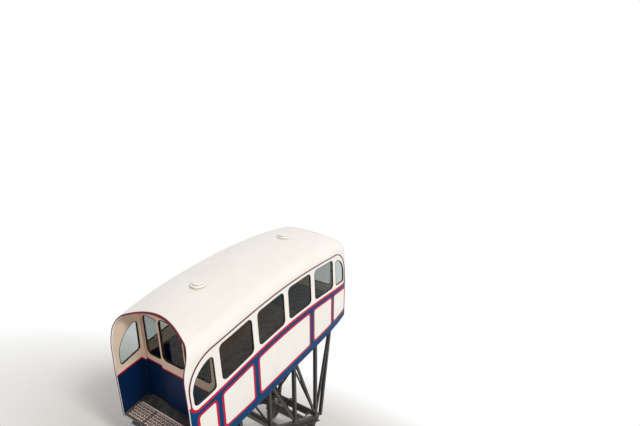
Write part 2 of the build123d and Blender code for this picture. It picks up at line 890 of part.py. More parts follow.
# Flat bars crossed back to back between the posts of the two sides
with BuildPart() as sway_braces:
    for x, foot_z in post_feet[1:]:
        run = (2 * girder_inner_y, sole_base - foot_z - 2 * cross_size)
        for hand in (-1, 1):
            with BuildSketch(Plane.YZ.offset(x + hand * fit_gap / 2)):
                with Locations((0, (sole_base + foot_z) / 2)):
                    Rectangle(
                        math.hypot(*run) + 2 * tie_size,
                        tie_size,
                        rotation=hand * math.degrees(math.atan2(run[1], run[0])),
                    )
                    Rectangle(2 * girder_inner_y, sole_base - foot_z, mode=Mode.INTERSECT)
            extrude(amount=hand * brace_thickness)
sway_braces.part.label = "sway_braces"
export_step(sway_braces.part, "parts/sway_braces.step")

# Cross members between the girders, and the headstock slung under their uphill end
with BuildPart(rail_plane) as cross_members:
    for along in (axle_uphill + cross_offset, brake_place, axle_downhill - cross_offset):
        with Locations((along, 0, girder_mid)):
            Box(cross_size, 2 * girder_inner_y, girder_height - 2 * girder_flange)
    with Locations((girder_down - headstock_thickness / 2, 0, girder_mid)):
        Box(headstock_thickness, 2 * girder_inner_y, girder_height)
    with Locations((uphill_headstock, 0, girder_base - headstock_height / 2)):
        Box(headstock_thickness, 2 * girder_y + girder_width, headstock_height)
cross_members.part.label = "cross_members"
export_step(cross_members.part, "parts/cross_members.step")

# Axleboxes under the girders, and the wheels on their axles
flange_back = gauge / 2 - flange_play - flange_width
tread_start = flange_back + flange_width
tread_end = flange_back + wheel_width
hub_back = flange_back - hub_proud
hub_front = tread_end + hub_proud
web_back = (flange_back + tread_end - web_thickness) / 2
web_front = web_back + web_thickness
rim_r = wheel_r - rim_thickness
axlebox_back = girder_y - axlebox_width / 2
journal_start = axlebox_back - axle_end_clearance
journal_end = girder_y + axlebox_width / 2 - axlebox_cover - journal_end_gap
axlebox_depth = girder_base - wheel_r + axlebox_drop

axle_places = {"uphill": axle_uphill, "downhill": axle_downhill}
with BuildPart(rail_plane) as axleboxes:
    for along in axle_places.values():
        for hand in sides.values():
            with Locations((along, hand * girder_y, girder_base - axlebox_depth / 2)):
                Box(axlebox_length, axlebox_width, axlebox_depth)
        with Locations(Location((along, 0, wheel_r), (90, 0, 0))):
            Cylinder(journal_r + running_gap, 2 * (journal_end + journal_end_gap), mode=Mode.SUBTRACT)
axleboxes.part.label = "axleboxes"
export_step(axleboxes.part, "parts/axleboxes.step")

for end, along in axle_places.items():
    centre = slope_point(along, wheel_r)
    axle_origin = (centre[0], 0, centre[1])
    with BuildPart() as wheelset:
        with BuildSketch(Plane(origin=axle_origin, x_dir=(0, 1, 0), z_dir=(cos_slope, 0, -sin_slope))):
            with BuildLine():
                Polyline(
                    (0, 0),
                    (0, axle_r),
                    (hub_back, axle_r),
                    (hub_back, hub_r),
                    (web_back, hub_r),
                    (web_back, rim_r),
                    (flange_back, rim_r),
                    (flange_back, wheel_r + flange_height / 2),
                )
                ThreePointArc(
                    (flange_back, wheel_r + flange_height / 2),
                    (flange_back + flange_width * 0.3, wheel_r + flange_height),
                    (flange_back + flange_width * 0.7, wheel_r + flange_height / 2),
                )
                Polyline(
                    (flange_back + flange_width * 0.7, wheel_r + flange_height / 2),
                    (tread_start, wheel_r),
                    (tread_end, wheel_r - tread_fall),
                    (tread_end, rim_r),
                    (web_front, rim_r),
                    (web_front, hub_r),
                    (hub_front, hub_r),
                    (hub_front, axle_r),
                    (journal_start, axle_r),
                    (journal_start, journal_r),
                    (journal_end, journal_r),
                    (journal_end, 0),
                    (0, 0),
                )
            make_face()
        revolve(axis=Axis(axle_origin, (0, 1, 0)))
        mirror(about=Plane.XZ)
        with Locations(Plane(origin=axle_origin, x_dir=(1, 0, 0), z_dir=(0, 1, 0))):
            with PolarLocations(web_hole_ring, web_holes):
                Cylinder(web_hole_r, 2 * hub_front, mode=Mode.SUBTRACT)
    wheelset.part.label = f"wheelset_{end}"
    export_step(wheelset.part, f"parts/wheelset_{end}.step")

# Two drawbars for the ropes, reaching uphill from the headstock to bored eyes
eye_along = uphill_headstock - headstock_thickness / 2 - drawbar_length
with BuildPart(rail_plane) as rope_drawbars:
    for hand in (-1, 1):
        with Locations(Location((eye_along / 2 + (uphill_headstock - headstock_thickness / 2) / 2,
                                 hand * rope_spacing / 2, rope_height), (0, 90, 0))):
            Cylinder(drawbar_r, drawbar_length)
        with Locations(Location((eye_along, hand * rope_spacing / 2, rope_height), (90, 0, 0))):
            Cylinder(eye_r, eye_thickness)
            Cylinder(eye_bore_r, 2 * eye_thickness, mode=Mode.SUBTRACT)
rope_drawbars.part.label = "rope_drawbars"
export_step(rope_drawbars.part, "parts/rope_drawbars.step")

# Slipper brakes over the rails, hung from the middle cross member
rail_mid_y = (gauge + rail_head_width) / 2
hanger_top = girder_base + girder_flange
hanger_foot = rail_clearance + brake_height
with BuildPart(rail_plane) as track_brakes:
    for hand in (-1, 1):
        with Locations((brake_place, hand * rail_mid_y, rail_clearance + brake_height / 2)):
            Box(brake_length, brake_width, brake_height)
        with Locations((brake_place, hand * rail_mid_y, (hanger_top + hanger_foot) / 2)):
            Box(brake_hanger, brake_hanger_thickness, hanger_top - hanger_foot)
track_brakes.part.label = "track_brakes"
export_step(track_brakes.part, "parts/track_brakes.step")

# Buffers on the downhill headstock
with BuildPart(rail_plane) as buffers:
    for hand in (-1, 1):
        with Locations(Location((girder_down + buffer_stem / 2, hand * buffer_spacing / 2, girder_mid), (0, 90, 0))):
            Cylinder(buffer_stem_r, buffer_stem)
        with Locations(Location((girder_down + buffer_stem + buffer_head / 2, hand * buffer_spacing / 2, girder_mid),
                                (0, 90, 0))):
            Cylinder(buffer_r, buffer_head)
buffers.part.label = "buffers"
export_step(buffers.part, "parts/buffers.step")
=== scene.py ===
"""Finishes, trim, upholstery and studio for a level-bodied funicular car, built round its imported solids."""
import logging
import math
from dataclasses import dataclass
from enum import Enum
from typing import Callable, Iterable, Sequence

import bmesh
import bpy
from mathutils import Matrix, Vector
from mathutils.bvhtree import BVHTree


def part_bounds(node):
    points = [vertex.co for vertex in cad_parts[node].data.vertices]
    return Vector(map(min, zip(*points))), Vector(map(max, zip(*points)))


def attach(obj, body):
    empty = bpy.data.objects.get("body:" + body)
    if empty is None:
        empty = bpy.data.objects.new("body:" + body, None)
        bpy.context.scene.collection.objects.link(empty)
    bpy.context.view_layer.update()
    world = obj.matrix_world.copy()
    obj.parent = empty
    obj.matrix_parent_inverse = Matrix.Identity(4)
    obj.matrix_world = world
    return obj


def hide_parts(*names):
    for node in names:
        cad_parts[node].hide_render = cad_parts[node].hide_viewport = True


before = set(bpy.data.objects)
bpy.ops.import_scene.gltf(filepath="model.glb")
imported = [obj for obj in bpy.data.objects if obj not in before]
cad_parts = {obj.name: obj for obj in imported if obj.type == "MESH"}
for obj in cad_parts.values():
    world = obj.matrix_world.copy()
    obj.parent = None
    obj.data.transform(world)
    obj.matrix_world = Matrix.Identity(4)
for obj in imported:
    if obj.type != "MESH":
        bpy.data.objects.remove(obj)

log = logging.getLogger("funicular")
Colour = tuple[float, float, float, float]
Flat = tuple[float, float]
Outline = Sequence[Flat]
Node = bpy.types.Node
Socket = bpy.types.NodeSocket
Sockets = dict[str, Socket]
Value = float | Socket
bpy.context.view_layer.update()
QUARTER = math.pi / 2
CORNER_STEPS = 8
OUTLINE_STEP = 0.03
SOFT_CREASE = 60.0
CUSHION_CREASE = 70.0


class Body(Enum):
    """The bodies that a piece can ride on."""

    CAR = "car"
    DOOR_UPHILL = "door_leaf_uphill"
    DOOR_DOWNHILL = "door_leaf_downhill"
    AXLE_UPHILL = "axle_uphill"
    AXLE_DOWNHILL = "axle_downhill"


class End(Enum):
    """The two ends of the car, by the sign of X."""

    UPHILL = -1
    DOWNHILL = 1

    @property
    def label(self) -> str:
        """The end's name in lower case."""
        return self.name.lower()

    @property
    def door(self) -> Body:
        """The sliding door's body at this end."""
        return Body[f"DOOR_{self.name}"]

    @property
    def axle(self) -> Body:
        """The wheelset's body at this end."""
        return Body[f"AXLE_{self.name}"]


class Side(Enum):
    """The two sides of the car, by the sign of Y."""

    RIGHT = -1
    LEFT = 1

    @property
    def label(self) -> str:
        """The side's name in lower case."""
        return self.name.lower()


def tone(red: int, green: int, blue: int) -> Colour:
    """Turn a display colour into a linear one.

    Args:
        red: Red from 0 to 255.
        green: Green from 0 to 255.
        blue: Blue from 0 to 255.

    Returns:
        The linear colour with full alpha.
    """
    shares = (level / 255 for level in (red, green, blue))
    linear = [s / 12.92 if s <= 0.04045 else ((s + 0.055) / 1.055) ** 2.4 for s in shares]
    return (*linear, 1.0)


@dataclass(frozen=True)
class CarSizes:
    """The car's leading sizes in metres, as its solids have them."""

    slope: float = math.radians(33)
    gauge: float = 1.067
    half_length: float = 2.62
    half_width: float = 1.05
    plan_straight: float = 1.5
    plan_r: float = 7.4
    wall: float = 0.032
    floor_z: float = 2.4
    line_rise: float = 0.15
    waist_rise: float = 1.155
    waist_drop: float = 0.253
    level_rise: float = 0.885
    plate_x: float = 2.26
    rake_rise: float = 1.5
    rake_r: float = 1.0
    rim_depth: float = 0.016
    drip_margin: float = 0.04
    foot_run: float = 0.11
    foot_rise: float = 0.15
    bulkhead_x: float = 2.04
    bulkhead_thickness: float = 0.034
    wheel_r: float = 0.27
    axle_uphill: float = -2.08
    axle_downhill: float = 1.5
    girder_y: float = 0.7
    girder_base: float = 0.395
    girder_height: float = 0.18

    def waist(self, x: float) -> float:
        """Height of the waist line at x, an arc that falls towards both ends."""
        r = (self.half_length**2 + self.waist_drop**2) / (2 * self.waist_drop)
        return self.floor_z + self.waist_rise - r + math.sqrt(r * r - x * x)

    def half_plan(self, x: float) -> float:
        """Half the body's width at x."""
        beyond = max(abs(x) - self.plan_straight, 0)
        return self.half_width - self.plan_r + math.sqrt(self.plan_r**2 - beyond**2)

    def on_slope(self, along: float, y: float, height: float) -> Vector:
        """A point given down the rails, across them and up from their tops, in the car's own axes."""
        c, s = math.cos(self.slope), math.sin(self.slope)
        return Vector((along * c + height * s, y, height * c - along * s))

    def axle(self, end: End) -> float:
        """How far down the rails the wheelset of an end stands."""
        return self.axle_uphill if end is End.UPHILL else self.axle_downhill

    @property
    def slope_turn(self) -> Matrix:
        """Rotation from level axes to the axes of the track."""
        return Matrix.Rotation(self.slope, 4, "Y")

    @property
    def level_z(self) -> float:
        """Height of the level line inside the end platforms."""
        return self.floor_z + self.level_rise


SIZES = CarSizes()


class NodePad:
    """A node tree with short calls for placing and joining its nodes."""

    def __init__(self, tree: bpy.types.NodeTree) -> None:
        """Take over a node tree."""
        self.tree = tree

    def add(self, kind: str, inputs: dict[str | int, object] | None = None, **settings: object) -> Node:
        """Place a node.

        Args:
            kind: The node's type name without its ShaderNode prefix.
            inputs: Values or sockets for its inputs, by name or index.
            **settings: Properties of the node.

        Returns:
            The new node.
        """
        node = self.tree.nodes.new("ShaderNode" + kind)
        for name, value in settings.items():
            setattr(node, name, value)
        for name, value in (inputs or {}).items():
            self.feed(node.inputs[name], value)
        return node

    def feed(self, socket: Socket, value: object) -> None:
        """Join a socket to another, or set its value."""
        if isinstance(value, Socket):
            self.tree.links.new(value, socket)
        else:
            socket.default_value = value

    def math(self, operation: str, first: Value, second: Value = 0.0, clamp: bool = False) -> Socket:
        """One step of arithmetic, held between 0 and 1 if asked."""
        return self.add("Math", {0: first, 1: second}, operation=operation, use_clamp=clamp).outputs[0]

    def times(self, first: Value, second: Value, clamp: bool = False) -> Socket:
        """The product of two values."""
        return self.math("MULTIPLY", first, second, clamp)

    def blend(self, share: Value, first: object, second: object) -> Socket:
        """Mix two colours, with the second showing by the share."""
        node = self.add("Mix", {"Factor": share, "A": first, "B": second}, data_type="RGBA")
        return node.outputs["Result"]

    def spread(self, value: Socket, low: float, high: float, start: float = 0.0, end: float = 1.0) -> Socket:
        """Map the range from low to high onto start to end, and hold it there."""
        ranges = {"Value": value, "From Min": low, "From Max": high, "To Min": start, "To Max": end}
        return self.add("MapRange", ranges, clamp=True).outputs["Result"]

    def noise(self, where: Socket, scale: Value, detail: float = 3.0, rough: float = 0.55) -> Socket:
        """Cloudy values over the surface, with scale in clouds per metre and detail in octaves."""
        node = self.add("TexNoise", {"Vector": where, "Scale": scale, "Detail": detail, "Roughness": rough})
        return node.outputs["Fac"]

    def stretched(self, where: Socket, stretch: tuple[float, float, float]) -> Socket:
        """Coordinates scaled by a factor along each axis."""
        return self.add("Mapping", {"Vector": where, "Scale": stretch}).outputs["Vector"]

    def axis(self, where: Socket, name: str) -> Socket:
        """One coordinate of a place."""
        return self.add("SeparateXYZ", {"Vector": where}).outputs[name]

    def bump(self, height: Socket, depth: float) -> Socket:
        """The normal of a surface raised by a height map whose 1 stands depth metres high."""
        return self.add("Bump", {"Height": height, "Distance": depth, "Strength": 1.0}).outputs["Normal"]

    def group(self, effect: "Effect", **values: object) -> Node:
        """Place a shared effect, its inputs given by name with underscores for spaces."""
        inputs = {name.replace("_", " "): value for name, value in values.items()}
        return self.add("Group", inputs, node_tree=effect.tree())

    def mask(self, effect: "Effect", **values: object) -> Socket:
        """Place a shared effect and take its mask."""
        return self.group(effect, **values).outputs["Mask"]


def cleared(owner: bpy.types.Material | bpy.types.World) -> NodePad:
    """The emptied node tree of a material or a world."""
    owner.use_nodes = True
    owner.node_tree.nodes.clear()
    return NodePad(owner.node_tree)


@dataclass(frozen=True)
class Effect:
    """A surface effect that several finishes share, kept as one node group with a place and values."""

    name: str
    wire: Callable[[NodePad, Sockets], Sockets]
    values: tuple[tuple[str, float], ...] = ()
    heights: bool = False
    placed: bool = True

    def tree(self) -> bpy.types.NodeTree:
        """The effect's node group, built the first time that it is asked for.

        Returns:
            The node group.
        """
        found = bpy.data.node_groups.get(self.name)
        if found:
            return found
        tree = bpy.data.node_groups.new(self.name, "ShaderNodeTree")
        if self.placed:
            tree.interface.new_socket(name="Place", in_out="INPUT", socket_type="NodeSocketVector")
        for name, value in self.values:
            socket = tree.interface.new_socket(name=name, in_out="INPUT", socket_type="NodeSocketFloat")
            socket.default_value = value
        for name in ("Mask", "Height") if self.heights else ("Mask",):
            tree.interface.new_socket(name=name, in_out="OUTPUT", socket_type="NodeSocketFloat")
        pad = NodePad(tree)
        given = {socket.name: socket for socket in tree.nodes.new("NodeGroupInput").outputs}
        made = tree.nodes.new("NodeGroupOutput")
        for name, socket in self.wire(pad, given).items():
            pad.feed(made.inputs[name], socket)
        return tree


def wire_weather(pad: NodePad, given: Sockets) -> Sockets:
    """Dirt that gathers towards a low edge and runs down in streaks."""
    where = given["Place"]
    fall = pad.math("SUBTRACT", given["High"], pad.axis(where, "Z"))
    low = pad.math("DIVIDE", fall, pad.math("SUBTRACT", given["High"], given["Low"]), clamp=True)
    runs = pad.noise(pad.stretched(where, (9.0, 9.0, 0.8)), 3.0, 4.0)
    cloud = pad.noise(where, 5.0, 5.0, 0.6)
    dirt = pad.times(pad.math("POWER", low, 1.6), pad.spread(cloud, 0.3, 0.75))
    streak = pad.times(pad.spread(runs, 0.56, 0.78), pad.times(low, 0.6))
    return {"Mask": pad.times(pad.math("MAXIMUM", dirt, streak), given["Amount"], clamp=True)}


def wire_dust(pad: NodePad, given: Sockets) -> Sockets:
    """Dust that lies where the surface faces up."""
    up = pad.spread(pad.axis(pad.add("NewGeometry").outputs["Normal"], "Z"), 0.25, 0.95)
    cloud = pad.spread(pad.noise(given["Place"], 7.0, 5.0, 0.62), 0.32, 0.72)
    return {"Mask": pad.times(pad.times(up, cloud), given["Amount"])}


def wire_brushwork(pad: NodePad, given: Sockets) -> Sockets:
    """The slow waves and fine peel of a sprayed or brushed coat."""
    where = given["Place"]
    slow = pad.noise(where, 3.5, 1.0)
    fine = pad.noise(where, given["Scale"], 2.0)
    height = pad.math("ADD", pad.times(slow, 0.8), pad.times(fine, 0.2))
    return {"Mask": pad.spread(pad.noise(where, 1.7, 4.0, 0.6), 0.3, 0.7), "Height": height}


def wire_edge_rub(pad: NodePad, given: Sockets) -> Sockets:
    """Rubbed edges, found where a rounded normal leaves the flat one."""
    rounded = pad.add("Bevel", {"Radius": given["Width"]}, samples=4).outputs["Normal"]
    flat = pad.add("NewGeometry").outputs["Normal"]
    turn = pad.add("VectorMath", {0: rounded, 1: flat}, operation="DOT_PRODUCT").outputs["Value"]
    edge = pad.spread(pad.math("SUBTRACT", 1.0, turn), 0.02, 0.25)
    patchy = pad.spread(pad.noise(given["Place"], 22.0, 4.0, 0.65), 0.42, 0.62)
    return {"Mask": pad.times(pad.times(edge, patchy), given["Amount"])}


def wire_outer_skin(pad: NodePad, given: Sockets) -> Sockets:
    """1 on the faces that look away from the car's long axis, and 0 on those that look inwards."""
    spot = pad.add("NewGeometry").outputs
    rise = pad.math("SUBTRACT", pad.axis(spot["Position"], "Z"), given["Axis Height"])
    across = pad.axis(spot["Position"], "Y")
    arm = pad.add("CombineXYZ", {"X": 0.0, "Y": across, "Z": rise}).outputs["Vector"]
    away = pad.add("VectorMath", {0: arm, 1: spot["Normal"]}, operation="DOT_PRODUCT").outputs["Value"]
    return {"Mask": pad.spread(away, -0.03, 0.03)}


def wire_level_split(pad: NodePad, given: Sockets) -> Sockets:
    """1 above a level line and 0 below it."""
    over = pad.math("SUBTRACT", pad.axis(given["Place"], "Z"), given["Level"])
    return {"Mask": pad.spread(over, -0.0015, 0.0015)}


def wire_grain(pad: NodePad, given: Sockets) -> Sockets:
    """Long grain of timber that runs along the car."""
    where = given["Place"]
    wander = pad.noise(pad.stretched(where, (1.0, 4.0, 4.0)), 2.5, 3.0)
    lines = pad.noise(pad.stretched(where, (1.2, 30.0, 30.0)), given["Scale"], 5.0, 0.6)
    total = pad.math("ADD", pad.times(wander, 0.35), pad.times(lines, 0.65))
    return {"Mask": pad.spread(total, 0.36, 0.64), "Height": lines}


def wire_weave(pad: NodePad, given: Sockets) -> Sockets:
    """The tufts and small lozenges of a cut pile seat cloth."""
    where = given["Place"]
    turned = pad.add("Mapping", {"Vector": where, "Rotation": (0.6, 0.6, 0.785)}).outputs["Vector"]
    checks = pad.add("TexChecker", {"Vector": turned, "Scale": given["Scale"]}).outputs["Fac"]
    tufts = pad.noise(where, 900.0, 2.0, 0.7)
    return {"Mask": pad.times(checks, pad.spread(tufts, 0.2, 0.6)), "Height": tufts}


AMOUNT = ("Amount", 0.3)
SCALE = ("Scale", 60.0)
WEATHER = Effect("road_weather", wire_weather, (("Low", 2.3), ("High", 3.0), AMOUNT))
DUST = Effect("settled_dust", wire_dust, (AMOUNT,))
BRUSHWORK = Effect("brushwork", wire_brushwork, (SCALE,), heights=True)
EDGE_RUB = Effect("edge_rub", wire_edge_rub, (("Width", 0.004), AMOUNT))
OUTER_SKIN = Effect("outer_skin", wire_outer_skin, (("Axis Height", 3.5),), placed=False)
LEVEL_SPLIT = Effect("level_split", wire_level_split, (("Level", 3.3),))
TIMBER_GRAIN = Effect("timber_grain", wire_grain, (SCALE,), heights=True)
SEAT_WEAVE = Effect("seat_weave", wire_weave, (SCALE,), heights=True)
GRIME = tone(70, 62, 54)
DUST_TONE = tone(176, 166, 150)
CLEAR_LIGHT = (0.9, 0.93, 0.92, 1.0)


@dataclass(frozen=True)
class Finish:
    """A material that is built once and then shared."""

    name: str

    def material(self) -> bpy.types.Material:
        """The finish's material, built the first time that it is asked for.

        Returns:
            The material.
        """
        found = bpy.data.materials.get(self.name)
        if found:
            return found
        made = bpy.data.materials.new(self.name)
        pad = cleared(made)
        shader = pad.add("BsdfPrincipled", self.dress(pad, pad.add("TexCoord").outputs["Object"]))
        pad.add("OutputMaterial", {"Surface": self.surface(pad, shader)})
        return made

    def dress(self, pad: NodePad, where: Socket) -> dict[str, object]:
        """The values and sockets that the shader's inputs take, from coordinates on the piece."""
        raise NotImplementedError

    def surface(self, pad: NodePad, shader: Node) -> Socket:
        """The socket that the material puts out."""
        return shader.outputs["BSDF"]


@dataclass(frozen=True)
class CoachPaint(Finish):
    """Gloss coach enamel with a little life in its colour, dirt low down and dust on top."""

    colour: Colour
    shade: Colour
    roughness: float = 0.3
    coat: float = 0.3
    dirt: float = 0.25
    dirt_low: float = 2.3
    dirt_high: float = 3.1
    dust: float = 0.08
    ripple: float = 0.0008
    gloss: float = 0.3
    peel: float = 140.0

    def dress(self, pad: NodePad, where: Socket) -> dict[str, object]:
        """Lay the enamel, then what is picked out on it, then dirt and wear."""
        coat = pad.group(BRUSHWORK, Place=where, Scale=self.peel).outputs
        dirt = pad.mask(WEATHER, Place=where, Low=self.dirt_low, High=self.dirt_high, Amount=self.dirt)
        colour = self.picked_out(pad, where, pad.blend(coat["Mask"], self.shade, self.colour))
        colour = pad.blend(dirt, colour, GRIME)
        return {
            "Base Color": pad.blend(self.wear(pad, where), colour, DUST_TONE),
            "Roughness": self.dullness(pad, coat["Mask"], dirt),
            "Specular IOR Level": self.gloss,
            "Coat Weight": self.coat,
            "Coat Roughness": 0.08,
            "Normal": pad.bump(coat["Height"], self.ripple),
        }

    def picked_out(self, pad: NodePad, where: Socket, colour: Socket) -> Socket:
        """The colour with a part of the surface painted otherwise, before wear."""
        return colour

    def wear(self, pad: NodePad, where: Socket) -> Socket:
        """Where the paler tone of wear shows."""
        return pad.mask(DUST, Place=where, Amount=self.dust)

    def dullness(self, pad: NodePad, mottle: Socket, dirt: Socket) -> Socket:
        """The roughness, which rises with dirt."""
        return pad.math("ADD", self.roughness, pad.times(dirt, 0.35))


@dataclass(frozen=True)
class SkinPaint(CoachPaint):
    """Enamel on a body skin that shows one colour outside and two inside, parted by the level line; the
    inside blue below it is darkened as painted shade.
    """

    inside_high: Colour = tone(240, 222, 202)
    # The inside blue is the outside blue painted darker, as painted shade inside the platforms.
    inside_low: Colour = tone(20, 44, 84)
    axis_height: float = 3.3

    def picked_out(self, pad: NodePad, where: Socket, colour: Socket) -> Socket:
        """Paint the inside in its two colours; the lower blue holds the painted shade."""
        split = pad.mask(LEVEL_SPLIT, Place=where, Level=SIZES.level_z)
        inside = pad.blend(split, self.inside_low, self.inside_high)
        return pad.blend(pad.mask(OUTER_SKIN, Axis_Height=self.axis_height), inside, colour)


@dataclass(frozen=True)
class TwoToneFinish(CoachPaint):
    """Enamel in two colours that meet at the level line, the lower blue darkened as painted shade, with a
    soft sheen and rubbed edges.
    """

    peel: float = 120.0
    # Darker than the outside blue: painted shade on the partitions.
    low: Colour = tone(20, 44, 84)

    def picked_out(self, pad: NodePad, where: Socket, colour: Socket) -> Socket:
        """Paint the part below the level line in the blue darkened as painted shade."""
        return pad.blend(pad.mask(LEVEL_SPLIT, Place=where, Level=SIZES.level_z), self.low, colour)

    def wear(self, pad: NodePad, where: Socket) -> Socket:
        """Where the edges are rubbed."""
        return pad.mask(EDGE_RUB, Place=where, Width=0.004, Amount=0.35)

    def dullness(self, pad: NodePad, mottle: Socket, dirt: Socket) -> Socket:
        """The roughness, which changes with the brushwork."""
        return pad.spread(mottle, 0, 1, self.roughness, self.roughness + 0.1)


@dataclass(frozen=True)
class RimPaint(CoachPaint):
    """White enamel on the rolled rims, with a dark line picked out on their front faces."""

    line: Colour = tone(104, 36, 50)

    def picked_out(self, pad: NodePad, where: Socket, colour: Socket) -> Socket:
        """Paint the line on the front face of a rim, by its reach from the rake's centre."""
        along = pad.math("ABSOLUTE", pad.axis(where, "X"))
        run = pad.math("MAXIMUM", pad.math("SUBTRACT", along, SIZES.half_length - SIZES.rake_r), 0.0)
        rise = pad.math("SUBTRACT", pad.axis(where, "Z"), SIZES.floor_z + SIZES.rake_rise)
        rise = pad.math("MAXIMUM", rise, 0.0)
        reach = pad.math("SQRT", pad.math("ADD", pad.times(run, run), pad.times(rise, rise)))
        front = SIZES.rake_r + SIZES.rim_depth
        return pad.blend(pad.spread(reach, front - 0.003, front - 0.002), colour, self.line)


@dataclass(frozen=True)
class Rubber(Finish):
    """Moulded black rubber with a dusty bloom."""

    colour: Colour = tone(18, 16, 17)
    bloom: Colour = tone(46, 42, 42)
    roughness: float = 0.6

    def dress(self, pad: NodePad, where: Socket) -> dict[str, object]:
        """Cloud the rubber with its bloom and dust."""
        cloud = pad.spread(pad.noise(where, 18.0, 5.0, 0.65), 0.45, 0.8)
        share = pad.math("MAXIMUM", pad.times(cloud, 0.5), pad.mask(DUST, Place=where, Amount=0.4))
        return {
            "Base Color": pad.blend(share, self.colour, self.bloom),
            "Specular IOR Level": 0.2,
            "Roughness": pad.spread(cloud, 0, 1, self.roughness, self.roughness + 0.2),
            "Normal": pad.bump(pad.noise(where, 400.0, 2.0), 0.0003),
        }


@dataclass(frozen=True)
class ClearGlass(Finish):
    """Thin float glass that lets shadow and diffuse rays through, with a film of dust."""

    tint: Colour = tone(188, 194, 192)
    film: Colour = tone(186, 188, 184)

    def dress(self, pad: NodePad, where: Socket) -> dict[str, object]:
        """Lay the film of dust on the glass."""
        film = pad.spread(pad.noise(where, 4.0, 5.0, 0.6), 0.45, 0.8)
        colour = pad.blend(pad.times(film, 0.25), self.tint, self.film)
        return {"Base Color": colour, "Roughness": 0.0, "Transmission Weight": 1.0, "IOR": 1.2}

    def surface(self, pad: NodePad, shader: Node) -> Socket:
        """Let light through to what lies behind the pane."""
        light = pad.add("LightPath").outputs
        through = pad.add("BsdfTransparent", {"Color": CLEAR_LIGHT}).outputs["BSDF"]
        lit = pad.math("MAXIMUM", light["Is Shadow Ray"], light["Is Diffuse Ray"])
        return pad.add("MixShader", {0: lit, 1: shader.outputs["BSDF"], 2: through}).outputs["Shader"]


@dataclass(frozen=True)
class WorkedMetal(Finish):
    """Bare or painted metal with a grain, rubbed edges and grease or rust in patches."""

    colour: Colour
    patch: Colour
    worn: Colour
    metallic: float = 1.0
    roughness: float = 0.35
    patchiness: float = 0.5
    rub: float = 0.6
    depth: float = 0.0006
    dust: float = 0.25

    def dress(self, pad: NodePad, where: Socket) -> dict[str, object]:
        """Lay patches, rubbed edges and dust on the metal."""
        cloud = pad.spread(pad.noise(where, 9.0, 6.0, 0.65), 0.38, 0.72)
        colour = pad.blend(pad.times(cloud, self.patchiness), self.colour, self.patch)
        colour = self.tint(pad, where, colour)
        colour = pad.blend(pad.mask(EDGE_RUB, Place=where, Width=0.005, Amount=self.rub), colour, self.worn)
        return {
            "Base Color": pad.blend(pad.mask(DUST, Place=where, Amount=self.dust), colour, DUST_TONE),
            "Roughness": pad.spread(cloud, 0, 1, self.roughness, self.roughness + 0.25),
            "Metallic": self.metallic,
            "Normal": pad.bump(pad.noise(where, 120.0, 4.0, 0.6), self.depth),
        }

    def tint(self, pad: NodePad, where: Socket, colour: Socket) -> Socket:
        """The metal's colour, changed from place to place before wear."""
        return colour


@dataclass(frozen=True)
class PlatformSheet(WorkedMetal):
    """Platform floor darkened inboard of the plates as painted shade by the bulkhead, with bare steel under
    the plates at the platform's edge.
    """

    sheet: Colour = tone(34, 36, 42)

    def tint(self, pad: NodePad, where: Socket, colour: Socket) -> Socket:
        """Darken the floor inboard of the plates: painted shade by the bulkhead."""
        along = pad.math("ABSOLUTE", pad.axis(where, "X"))
        return pad.blend(pad.spread(along, SIZES.plate_x - 0.002, SIZES.plate_x), self.sheet, colour)


@dataclass(frozen=True)
class Timber(Finish):
    """Varnished hardwood whose grain runs along the car."""

    pale: Colour = tone(150, 98, 56)
    dark: Colour = tone(92, 52, 28)
    bare: Colour = tone(184, 140, 96)
    roughness: float = 0.34

    def dress(self, pad: NodePad, where: Socket) -> dict[str, object]:
        """Lay the grain and the edges where the varnish is gone."""
        grain = pad.group(TIMBER_GRAIN, Place=where, Scale=4.0).outputs
        rub = pad.mask(EDGE_RUB, Place=where, Width=0.006, Amount=0.6)
        return {
            "Base Color": pad.blend(rub, pad.blend(grain["Mask"], self.dark, self.pale), self.bare),
            "Roughness": pad.spread(grain["Mask"], 0, 1, self.roughness + 0.12, self.roughness),
            "Coat Weight": 0.35,
            "Normal": pad.bump(grain["Height"], 0.0005),
        }


@dataclass(frozen=True)
class SeatCloth(Finish):
    """Cut pile seat cloth with a small woven lozenge, paler where it is worn."""

    ground: Colour = tone(112, 28, 40)
    figure: Colour = tone(62, 20, 34)
    worn: Colour = tone(142, 66, 70)

    def dress(self, pad: NodePad, where: Socket) -> dict[str, object]:
        """Weave the lozenges and wear them."""
        weave = pad.group(SEAT_WEAVE, Place=where, Scale=46.0).outputs
        worn = pad.times(pad.spread(pad.noise(where, 6.0, 4.0), 0.45, 0.75), 0.3)
        return {
            "Base Color": pad.blend(worn, pad.blend(weave["Mask"], self.ground, self.figure), self.worn),
            "Roughness": 0.85,
            "Sheen Weight": 0.3,
            "Normal": pad.bump(weave["Height"], 0.0008),
        }


@dataclass(frozen=True)
class OpalShade(Finish):
    """Opal lamp shade, unlit."""

    clean: Colour = tone(240, 236, 222)
    yellowed: Colour = tone(226, 218, 198)

    def dress(self, pad: NodePad, where: Socket) -> dict[str, object]:
        """Cloud the shade a little."""
        cloud = pad.spread(pad.noise(where, 12.0, 3.0), 0.35, 0.75)
        colour = pad.blend(cloud, self.clean, self.yellowed)
        return {"Base Color": colour, "Roughness": pad.spread(cloud, 0, 1, 0.2, 0.35), "Coat Weight": 0.4}


